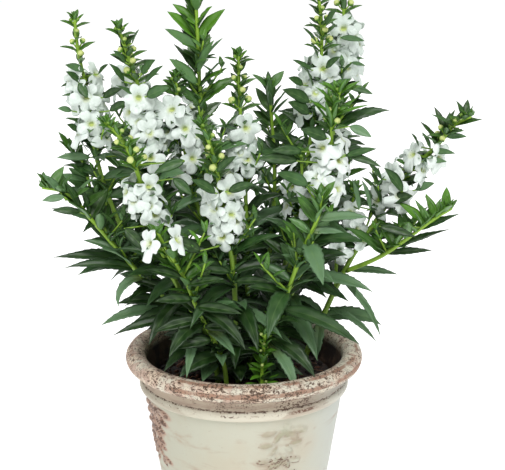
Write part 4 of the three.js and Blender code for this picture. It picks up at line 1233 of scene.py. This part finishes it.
spotLeaves = {  # leaves on a stalk of their own: seat, turn, rise, length, width and tone
    "a": [(-102, 10, 304, 325, -44, 11, 6.5, 0.3), (-101, 12, 304, 210, 47, 13, 5.5, 0.2),
          (-99, 14, 311, 202, 29, 13, 5.5, 0.4), (-90, 14, 309, 323, 49, 11, 4.5, 0.2),
          (-107, 12, 286, 210, 23, 10, 4.5, 0.6), (-103, 12, 273, 215, 41, 10, 5.5, 0.2),
          (-87, 10, 295, 339, 35, 15, 6, 0.1), (-83, 8, 287, 339, 35, 15, 6, 0.1)],
    "b": [(-59, -10, 300, 341, 32, 16, 8.5, 0.3), (-62, -8, 314, 330, 51, 14, 7.5, 0.3),
          (-73, -4, 308, 210, 59, 16, 5.5, 0.2), (-72, -4, 320, 215, 52, 12, 5, 0.3),
          (-60, -6, 308, 337, 51, 17, 4.5, 0.3), (-68, 0, 331, 311, 62, 12, 4.5, 0.3)],
    "c": [(-42, -50, 259, 341, -30, 15, 7, 0.2), (-35, -50, 270, 192, -12, 20, 7, 0.2),
          (-71, -60, 231, 344, -37, 19, 8, 0.1)],
    "d": [(-29, 4, 305, 196, 52, 24, 8.5, 0.5), (-28, 4, 312, 334, 70, 24, 8, 0.5),
          (-30, 4, 294, 192, 43, 24, 7, 0.2), (-29, 8, 326, 194, 42, 24, 7, 0.5)],
    "e": [(-8, -36, 196, 196, 16, 24, 7, 0.2), (-6, -36, 190, 344, 12, 24, 7, 0.1),
          (-26, -60, 217, 194, 32, 21, 9, 0.1), (-17, -50, 250, 199, 41, 18, 7, 0.2),
          (-16, -50, 263, 337, 49, 17, 6, 0.2), (-9, -50, 251, 344, 29, 17, 6.5, 0.1)],
    "h": [(37, 18, 301, 206, 36, 12, 6, 0.2), (43, 18, 301, 230, 68, 15, 7.5, 0.1),
          (42, 16, 311, 202, 38, 15, 3.6, 0.3), (51, 16, 312, 331, 48, 13, 5.6, 0.2),
          (51, 14, 300, 344, 30, 18, 3.6, 0.3), (45, 20, 328, 212, 53, 14, 3.2, 0.3),
          (46, 18, 319, 230, 63, 12, 6, 0.2), (41, 14, 291, 195, 35, 20, 8.5, 0.1),
          (41, 12, 284, 199, 39, 17, 8.5, 0.1), (51, 22, 338, 323, 60, 14, 7, 0.3)],
    "i": [(61, 38, 327, 344, 3, 16, 4.2, 0.4), (66, 36, 296, 345, -6, 17, 4.8, 0.4),
          (68, 38, 311, 333, 1, 10, 2.8, 0.5)],
    "j": [(50, -32, 279, 196, 30, 18, 8.5, 0.1), (62, -24, 266, 346, 25, 20, 5, 0.3),
          (62, -24, 267, 349, -9, 23, 5, 0.2), (64, -26, 285, 342, -14, 15, 6.2, 0.9),
          (39, -28, 249, 193, 32, 22, 8.5, 0.3), (35, -28, 270, 193, 13, 19, 7, 0.2),
          (32, -28, 264, 190, 14, 24, 8, 0.1)],
    "m": [(86, 4, 244, 206, 58, 15, 4.6, 0.3), (99, 0, 237, 200, 60, 21, 8, 0.2),
          (109, 4, 265, 222, 62, 12, 4, 0.2), (116, 2, 264, 205, 68, 13, 4, 0.3),
          (92, 3, 230, 342, 26, 15, 8, 0.1), (87, 6, 227, 216, 68, 17, 5.6, 0.2),
          (108, 7, 236, 349, 32, 13, 5.4, 0.5), (112, 4, 256, 343, 9, 15, 4.4, 0.5),
          (117, 4, 262, 344, 6, 15, 4.2, 0.4), (126, 4, 271, 340, 14, 13, 4.2, 0.4)],
    "n": [(84, -12, 218, 351, -7, 24, 6, 0.2)],
    "o": [(72, -2, 226, 200, 84, 21, 5.4, 0.86), (79, -2, 226, 206, 80, 21, 5.4, 0.86)],
    "p": [(-113, -17, 242, 200, 56, 16, 5.4, 0.5), (-110, -19, 239, 186, 0, 14, 5.2, 0.7),
          (-101, -17, 231, 196, 72, 20, 5.4, 0.3), (-95, -15, 227, 192, 80, 19, 4.4, 0.1),
          (-101, -18, 229, 186, 14, 17, 5.4, 0.4)],
    "r": [(-37, -60, 200, 196, 26, 24, 7, 0.15), (-34, -58, 195, 344, 22, 24, 7, 0.1),
          (-31, -56, 185, 200, 12, 24, 8, 0.1), (-29, -54, 180, 338, 6, 30, 8, 0.3),
          (-26, -52, 171, 196, -2, 30, 9, 0.1), (-24, -52, 166, 342, 12, 24, 8, 0),
          (-20, -50, 157, 200, 2, 24, 9, 0.2)],
    "t": [(-97, 20, 254, 192, 11, 21, 6, 0.6), (-99, 20, 239, 193, 21, 21, 4.5, 0.4),
          (-98, 18, 242, 203, 46, 16, 5, 0.2), (-96, 14, 241, 343, -28, 17, 7, 0.9)],
}
spotForm = {"stalk": [0.6, 0.5, 0.4], "narrow": 0.9, "droop": 16, "upper": 201, "light": 235,
            "lighter": 0.3, "lightest": 0.9, "young": {"d": 0.25}, "dull": 0.08, "roll": (50, 68)}


def growSpotLeaves(stem, leafy, tip):
    highest = stem["course"].points[-1][2] - 6
    foot = jointAt(stem, stem["cut"])["seat"][2]
    for *seat, turn, rise, length, width, tone in spotLeaves.get(stem["name"], []):
        seat = np.array(seat, float)
        start = jointOver(stem, min(seat[2] - 4, highest))["seat"]
        green = tip if start[2] > foot + 1 else leafy
        fineTube(green, [start, mix(start, seat, 0.6), seat], spotForm["stalk"], (stalkKind, 0.4, 0.4), 5)
        roll = spotForm["roll"][seat[2] >= spotForm["upper"]]
        size = leafSize(length, spotForm["narrow"] * width, rise, spotForm["droop"], roll)
        # painted light: the leaves set above the light height take a higher tone, which lightens them and
        # adds the painted sheen
        tone = min(spotForm["lightest"], tone + spotForm["lighter"] * (seat[2] > spotForm["light"]))
        young = spotForm["young"].get(stem["name"], spotForm["dull"])
        fineBlade(green, freeJoint(seat), turn, size, tone=tone, young=young)


def growPlant():
    green, spray, white = {}, {}, {}
    for stem in stems:
        leafy = green.setdefault(stem["green"], Bundle())
        looks = leafLooks(drawOf(stem, 500))
        fineStalk(leafy, stem, 0, stem["cut"])
        growLongLeaves(stem, leafy, looks)
        growLeaves(stem, leafy, looks)
        if stem["name"] == "s":
            growSprout(stem, leafy)
        else:
            growBetween(stem, leafy, leafLooks(drawOf(stem, 700)))
            growShoots(stem, leafy)
            growCrown(stem, leafy)
            growThicket(stem, leafy)
        if not stem["blooms"]:
            growSpotLeaves(stem, leafy, leafy)
            growTuft(stem, leafy)
            growBuds(stem, leafy)
            continue
        tip = spray[stem["top"]] = Bundle()
        petals = white[stem["top"]] = Bundle()
        fineStalk(tip, stem, stem["cut"], stem["course"].length)
        growTuft(stem, tip)
        growBuds(stem, tip)
        growBlooms(stem, petals, tip)
        growHalfBlooms(stem, petals, tip)
        growMoreBlooms(stem, petals, tip)
        growAmongBlooms(stem, tip)
        growSpotLeaves(stem, leafy, tip)
        growBracts(stem, tip)
    foliage, petal = foliageFinish(), petalFinish()
    for node, bundle in green.items():
        bundle.piece("leafy_" + node, foliage, "foliage", node)
    for node, bundle in spray.items():
        bundle.piece(node + "_stalk_and_bracts", foliage, "foliage", node)
    for node, bundle in white.items():
        bundle.piece(node + "_blooms", petal, "petals", node)
    print("plant grown:", tally)


# Pot

pot = {
    "sides": 336, "wall": 6.5, "floor": 9, "foot": 45, "edge": 1.6, "standing": 5,
    "body": [(45, 0), (49.8, 28), (54.6, 55), (57.9, 76), (63.2, 108)], "bodyTop": 107.4, "bodyStep": 0.95,
    "groove": [(63.0, 108.2)], "bead": (63.6, 112.1, 3.2, 3.7, -76, 60, 14),
    "bandFoot": (65.6, 116), "bandHead": (67.3, 122.6), "bandHollow": 0.8,
    "roll": (69, 129, 6.4, 5.8, -62, 172, 40),
    "neck": [(62.2, 126), (61.2, 121), (59.6, 115.5), (57.8, 110)],
}


def arcOf(r, z, wide, tall, low, high, count):
    turns = np.radians(np.linspace(low, high, count))
    return [(r + wide * math.cos(a), z + tall * math.sin(a)) for a in turns]


def potProfile():  # radius and height, from the foot's edge up, over the roll and down the inside
    bodyR, bodyZ = np.array(pot["body"]).T
    fit = np.polyfit(bodyZ, bodyR, 3)
    edge = pot["edge"]
    walls = arcOf(pot["foot"] - edge, edge, edge, edge, -90, 0, 4)
    walls += [(np.polyval(fit, z), z) for z in np.arange(edge + 1, pot["bodyTop"], pot["bodyStep"])]
    (r1, z1), (r2, z2) = pot["bandFoot"], pot["bandHead"]
    band = [(mix(r1, r2, t) - pot["bandHollow"] * math.sin(math.pi * t), mix(z1, z2, t))
            for t in np.linspace(0, 1, 9)]
    outer = walls + pot["groove"] + arcOf(*pot["bead"]) + band + arcOf(*pot["roll"])
    inner = [(np.polyval(fit, h) - pot["wall"], h) for h in np.linspace(104, pot["floor"] + 1, 24)]
    return outer + pot["neck"] + inner, len(walls), len(outer)


# Worn floral sprigs on the body: each hangs from its top, with rosettes down its middle and leaves
sprigs = [
    {"turn": 202, "top": 103, "length": 34, "seed": 71, "depth": 1.4, "wear": (1.1, 0.8)},
    {"turn": 294, "top": 100, "length": 52, "seed": 72, "depth": 1.7, "wear": (0.12, 1.7)},
    {"turn": 22, "top": 102, "length": 46, "seed": 73, "depth": 1.9, "wear": (0.9, 0.7)},
    {"turn": 110, "top": 103, "length": 44, "seed": 74, "depth": 1.9, "wear": (0.8, 0.9)},
]


carving = {
    "rows": 6, "bend": 2.4, "rosette": (5.2, 3.6), "leaf": (5.2, 3.4), "vein": 0.14, "veinEnd": 0.85,
    "veinDepth": 0.3, "edge": 0.22, "near": 0.5, "lowest": 6, "lowFade": 8, "highest": 107.5,
    "highFade": 3, "uneven": 0.18,
}


def motifsOf(sprig):  # ellipses as centre, direction, half length and half width
    draw = Draws(sprig["seed"])
    found = []
    rows = carving["rows"]
    for k in range(rows):
        t = k / (rows - 1)
        cx, cz = carving["bend"] * math.sin(4.5 * t + sprig["seed"]), sprig["top"] - sprig["length"] * t
        if k % 2 == 0:
            big, first = mix(*carving["rosette"], t) * draw.between(0.9, 1.1), draw.between(0, 360)
            for petal in range(5):
                a = math.radians(first + 72 * petal)
                far = big * 0.62
                found.append((cx + far * math.cos(a), cz + far * math.sin(a), a, big * 0.52, big * 0.38))
            found.append((cx, cz, 0, big * 0.24, big * 0.24))
        for sign in (-1, 1):
            for side in (0, 1):
                a = math.radians(270 + sign * (30 + 40 * side + 18 * draw()))
                long = mix(*carving["leaf"], t) * draw.between(0.8, 1.2)
                far = 3.4 + long * (0.7 + 0.5 * side)
                found.append((cx + far * math.cos(a) + sign * 1.4, cz + far * math.sin(a) + 1.5, a,
                              long, long * 0.4))
    return found


def reliefOf(turn, height, radius):  # raised height, closeness to an outline, closeness to a sprig
    raised, crease, near = (np.zeros(turn.shape) for _ in range(3))
    for sprig in sprigs:
        x = ((turn - sprig["turn"] + 180) % 360 - 180) * math.pi / 180 * radius
        wear = np.clip(mix(*sprig["wear"], (sprig["top"] - height) / sprig["length"]), 0, 1)
        for mx, mz, a, long, wide in motifsOf(sprig):
            u = ((x - mx) * math.cos(a) + (height - mz) * math.sin(a)) / long
            v = (-(x - mx) * math.sin(a) + (height - mz) * math.cos(a)) / wide
            d = np.sqrt(u * u + v * v)
            vein = hump(v, 0, carving["vein"]) * (np.abs(u) < carving["veinEnd"])
            dome = np.sqrt(np.maximum(0, 1 - d * d)) * (1 - carving["veinDepth"] * vein) * sprig["depth"]
            raised = np.maximum(raised, dome)
            edge = np.maximum(hump(d, 1, carving["edge"]), vein * 0.8)
            crease = np.maximum(crease, edge * wear)
            near = np.maximum(near, np.exp(-np.maximum(0, d - 1)**2 / carving["near"]) * wear)
    return raised, crease, near


def makePot():
    profile, walls, outer = potProfile()
    profile = np.array(profile)
    turns = np.arange(pot["sides"]) * 360 / pot["sides"]
    turn, height = np.meshgrid(turns, profile[:, 1])
    radius = np.repeat(profile[:, :1], pot["sides"], axis=1)
    fade = np.clip((height - carving["lowest"]) / carving["lowFade"], 0, 1)
    fade *= np.clip((carving["highest"] - height) / carving["highFade"], 0, 1)
    fade *= (np.arange(len(profile)) < walls)[:, None]
    raised, crease, near = (part * fade for part in reliefOf(turn, height, radius))
    coarse = [[noise.fractal((2.2 * math.cos(a), 2.2 * math.sin(a), z / 22), 1.0, 2.0, 3)
               for a in np.radians(turns[::4])] for z in profile[:, 1]]
    radius = radius + raised + carving["uneven"] * np.repeat(np.array(coarse), 4, axis=1)
    a = np.radians(turn)
    outside = np.broadcast_to((np.arange(len(profile)) < outer)[:, None], turn.shape)
    bundle = Bundle()
    bundle.loft(np.stack([radius * np.cos(a), radius * np.sin(a), height], -1),
                np.stack([raised / 2, crease, outside], -1), np.stack([near, 0 * near, 0 * near], -1),
                ends=False)
    ring = np.stack([np.cos(a[0]), np.sin(a[0]), 0 * turns], -1)
    standing = [ring * (pot["foot"] - pot["edge"]), ring * (pot["foot"] - pot["standing"])]
    bundle.loft(standing, (0, 0, 1), (0, 0, 0), ends=False)
    bundle.piece("pot_glazed", potFinish(), "pot_glaze", "pot")
    print("pot turned")


potPaint = {
    # shade is painted shade, and the bluish tint beside it is painted light on the right side
    "body": (194, 193, 176), "warm": (193, 186, 166), "paintedRightLight": (192, 198, 192), "shade": (162, 163, 144),
    "tan": (166, 145, 124), "cream": (212, 206, 188), "rim": (214, 194, 172), "pink": (184, 154, 138),
    "rust": (150, 106, 82), "dark": (88, 68, 54), "band": (178, 165, 145), "mauve": (160, 141, 124),
    # inner is the inside's reddish brown, darkened as painted shade
    "clay": (112, 82, 66), "crust": (172, 142, 124), "olive": (158, 160, 132), "inner": (42, 31, 28),
}


potBands = {  # heights in metres, as the nodes read them: where each band begins, and lines along them
    "bead": (0.1076, 0.1088), "band": (0.1146, 0.1158), "upper": (0.1148, 0.116), "roll": (0.1218, 0.1236),
    "groove": (0.1084, 0.0002, 0.0011), "beadMiddle": (0.1128, 0.0004, 0.0016),
    "beadTop": (0.1152, 0.0002, 0.0013), "underRoll": (0.1236, 0.0003, 0.0016),
    "worn": (0.061, 0.074), "heavy": (0.058, 0.07), "rollAxis": (0.069, 0.129),
    "rollTop": (1.12, 0.12, 0.34), "rollSide": (0.03, 0.12, 0.4),  # angles round the roll's axis
}


def potFinish():
    f = Finish("worn_glaze", potPaint)
    share, crease, outside = f.carried("place")
    near = f.carried("growth")[0]
    x, y, z = f.split(f.place())
    level = f.node("ShaderNodeCombineXYZ", {}, [x, y, 0.0])
    reach = f.node("ShaderNodeVectorMath", {"operation": "LENGTH"}, [level], "Value")
    axisR, axisZ = potBands["rollAxis"]
    rollTurn = (z - axisZ).math("ARCTAN2", reach - axisR)  # 0 outward, a quarter turn at the top
    # the two sides: on the left they paint shade and mark where the crust and wear gather, on the right
    # they paint light
    left, right = (-x).step(-0.02, 0.07), x.step(0.03, 0.066)
    front = 1 - left
    flecked = f.stretched(0.7, 0.7, 1)
    cloud = f.grain(26, 4, 0.6)
    patch = f.grain(70, 3, 0.6)
    worm = f.grain(720, 2, 0.6, flecked, 1.2)
    fine = f.grain(1150, 2, 0.6, flecked)
    streak = f.grain(300, 4, 0.65, f.stretched(0.16, 0.16, 1), 0.3)
    smear = f.grain(95, 4, 0.6, f.stretched(0.3, 0.3, 1.1), 0.7)

    def line(value, middle, inner, outer):  # 1 near the middle, and 0 beyond the outer distance
        return 1 - abs(value - middle).step(inner, outer)

    sprig = share.step(0.0, 0.25)
    lower = left + smear.step(0.44, 0.58) + 1 - z.step(*potBands["worn"])
    worn = crease.step(0.1, 0.5) * lower.step(0, 1)
    heavy = left * 0.07 + (1 - z.step(*potBands["heavy"])) * 0.12
    cuts = (crease * 0.34 + fine * 0.5 + worm * 0.55).step(0.74, 0.88) * worn.step(0.25, 0.7)
    body = f.coats(
        # painted shade on the left side and painted light on the right side
        "body", (cloud.step(0.38, 0.66), "warm"), (left * 0.55, "shade"), (right * 0.8, "paintedRightLight"),
        ((smear * 0.8 + cloud * 0.35 + sprig * front * 0.07).step(0.61, 0.76) * 0.65, "tan"),
        (share.step(0.15, 0.7) * (patch + smear).step(0.85, 1.15) * front * 0.6, "olive"),
        (near.step(0.1, 0.8) * (left * 0.9 + patch.step(0.45, 0.6) * 0.4), "crust"),
        ((crease * 0.5 + worm * 0.9 + heavy).step(0.66, 0.82) * worn * 0.9, "clay"),
        # the cream on the raised tops of the sprigs is a painted highlight
        (cuts * 0.9, "dark"), (share.step(0.75, 1.0) * 0.5, "cream"))
    # the bead, with painted shade on the left and painted light on the right
    bead = f.coats("cream", (smear.step(0.46, 0.62) * 0.55, "tan"), (left * 0.4, "shade"),
                   (right * 0.4, "paintedRightLight"))
    # the band, with mauve painted shade on the left and painted light on the right
    band = f.coats("band", (streak.step(0.42, 0.62), "mauve"), (left * 0.5, "mauve"), (right * 0.5, "paintedRightLight"))
    lines = line(rollTurn, *potBands["rollTop"]) + line(rollTurn, *potBands["rollSide"])
    broken = f.grain(34, 3, 0.6) * 0.9 + streak * 0.6
    rim = f.coats(
        "cream", ((patch + left * 0.1).step(0.42, 0.66), "rim"),
        ((f.grain(150, 4, 0.7) + left * 0.08).step(0.5, 0.62) * 0.75, "pink"),
        ((lines * 0.22 + broken).step(0.86, 1.0) * 0.8, "rust"))

    onRoll, upper = z.step(*potBands["roll"]), z.step(*potBands["upper"])
    beadMiddle = line(z, *potBands["beadMiddle"])
    density = (onRoll * 0.1 + upper * 0.12 + line(z, *potBands["beadTop"]) * 0.22
               + line(z, *potBands["underRoll"]) * 0.08 - left * upper * 0.02)
    density = density + upper * (1 - onRoll) * patch.step(0.45, 0.6) * 0.07
    density = density + beadMiddle * 0.15 + patch * 0.22 - 0.035 - right * 0.03
    marks = (worm * 0.7 + fine * 0.3 + density).step(0.8, 0.87)
    rosePatch = line(x, 0.036, 0.004, 0.011) * (1 - y.step(-0.03, 0.0)) * beadMiddle
    # inside the pot: its reddish-brown wall darkened as painted shade, with brown patches
    shadedInside = f.coats("inner", (patch.step(0.4, 0.6), "dark"))
    colour = f.coats(
        body, (z.step(*potBands["bead"]), bead), (z.step(*potBands["band"]), band), (onRoll, rim),
        # painted shadow along the groove under the bead
        (line(z, *potBands["groove"]) * 0.35, "shade"),
        ((worm + density).step(0.76, 0.86) * 0.7, "mauve"), (marks, "dark"),
        (rosePatch * (worm + fine).step(0.82, 0.98), "clay"), (1 - outside, shadedInside))
    height = fine * 0.35 + worm * 0.4 * upper + streak * upper * 0.3 - marks * 0.9
    return f.surface({
        "Base Color": colour, "Roughness": 0.42 + fine * 0.16 + upper * 0.16,
        "Normal": f.bump(height, 0.5, 0.5), "Specular IOR Level": 0.4})


# Potting mix: a lumpy heap with bark chips and fibres in it

soil = {
    "sides": 96, "rings": 58, "top": 56.0, "height": 118, "heap": 2.2, "chips": 400, "fibres": 110,
    "seed": 81, "skirt": [(55.8, 112), (54, 95), (46, 55), (36.7, 9.3)],
    "chip": ((-1, 0.45), (-0.4, 1), (0.5, 0.85), (1, 0.35)),
}


def soilHeight(x, y):
    r = math.hypot(x, y)
    turn = math.atan2(y, x)
    swirl = 0.9 * math.sin(3 * turn + r / 7) * math.cos(5 * turn - r / 11)
    heap = soil["heap"] * (1 - r / soil["top"]) + swirl
    lumps = 1.5 * noise.fractal((x / 7, y / 7, 0.3), 0.9, 2.1, 4)
    crumbs = 0.9 * noise.fractal((x / 2.2, y / 2.2, 4), 0.8, 2.1, 3)
    return soil["height"] + heap + (lumps + crumbs) - 1.0


def soilSunk(r):  # how far the heap lies lower towards the wall
    return 1.6 * max(0, (r - 50) / 6)


def makeSoil():
    bundle = Bundle()
    radii = np.concatenate([[0.4], np.linspace(1.2, soil["top"] - 0.4, soil["rings"])])
    turns = np.radians(np.arange(soil["sides"]) * 360 / soil["sides"])
    rings = []
    for r in radii:
        spots = [(r * math.cos(a), r * math.sin(a)) for a in turns]
        rings.append([(x, y, soilHeight(x, y) - soilSunk(r)) for x, y in spots])
    for r, z in soil["skirt"]:
        rings.append([(r * math.cos(a), r * math.sin(a), z) for a in turns])
    bundle.loft(rings, (0, 0, 0), (0, 0.5, 0))
    draw = Draws(soil["seed"])
    for _ in range(soil["chips"]):
        r, a = (soil["top"] - 2.5) * math.sqrt(draw()), 2 * math.pi * draw()
        x, y = r * math.cos(a), r * math.sin(a)
        size, flat, turn = 0.7 + 2.1 * draw()**2, 0.3 + 0.5 * draw(), math.pi * draw()
        tone = draw()
        centre = np.array([x, y, soilHeight(x, y) + size * flat * 0.35 - soilSunk(r)])
        along = np.array([math.cos(turn), math.sin(turn), 0.5 * (draw() - 0.5)]) * size * (1 + draw())
        across = np.array([-math.sin(turn), math.cos(turn), 0.4 * (draw() - 0.5)]) * size * 0.7
        thick = np.array([0.2 * (draw() - 0.5), 0.2 * (draw() - 0.5), 1]) * size * flat
        chip = [[centre + along * t * 0.7 + (across * math.cos(b) + thick * math.sin(b)) * wide
                 * (0.8 + 0.4 * draw()) for b in np.arange(6) * math.pi / 3] for t, wide in soil["chip"]]
        bundle.loft(chip, (0, 0, 0), (1, tone, 0))
    for _ in range(soil["fibres"]):
        r, a = (soil["top"] - 5) * math.sqrt(draw()), 2 * math.pi * draw()
        turn, long, bow = 2 * math.pi * draw(), 4 + 9 * draw(), 3 * (draw() - 0.5)
        points = []
        for t in np.linspace(-0.5, 0.5, 6):
            px = r * math.cos(a) + long * t * math.cos(turn) - bow * (0.25 - t * t) * math.sin(turn)
            py = r * math.sin(a) + long * t * math.sin(turn) + bow * (0.25 - t * t) * math.cos(turn)
            if math.hypot(px, py) < soil["top"] - 1.5:
                points.append((px, py, soilHeight(px, py) + 0.5 + 0.8 * (0.25 - t * t)))
        tone = draw()
        if len(points) > 2:
            fineTube(bundle, points, [0.28] * len(points), (2, tone, 0), 4)
    bundle.piece("potting_mix_heap", soilFinish(), "potting_mix", "potting_mix")
    print("potting mix filled")


soilPaint = {"dark": (24, 17, 15), "brown": (58, 38, 30), "bark": (104, 66, 48), "straw": (150, 112, 82)}


def soilFinish():
    f = Finish("potting_mix", soilPaint)
    kind, tone, _ = f.carried("growth")
    lumps = f.grain(300, 5, 0.7)
    bits = f.grain(900, 2, 0.6)
    chip = f.coats("dark", ((tone * 1.3 + lumps * 0.4 - 0.2).step(0.2, 1.3), "bark"))
    fibre = f.coats("bark", (tone, "straw"))
    colour = f.coats(
        "dark", (lumps.step(0.4, 0.7), "brown"), (bits.step(0.66, 0.74) * 0.6, "bark"),
        (kind.step(0.4, 0.6), chip), (kind.step(1.4, 1.6), fibre))
    return f.surface({"Base Color": colour, "Roughness": 0.82 + bits * 0.15,
                      "Normal": f.bump(lumps * 0.7 + bits * 0.5, 0.9, 0.9)})


makeCamera()
makeStudio()
prepareStems()
makePot()
makeSoil()
growPlant()
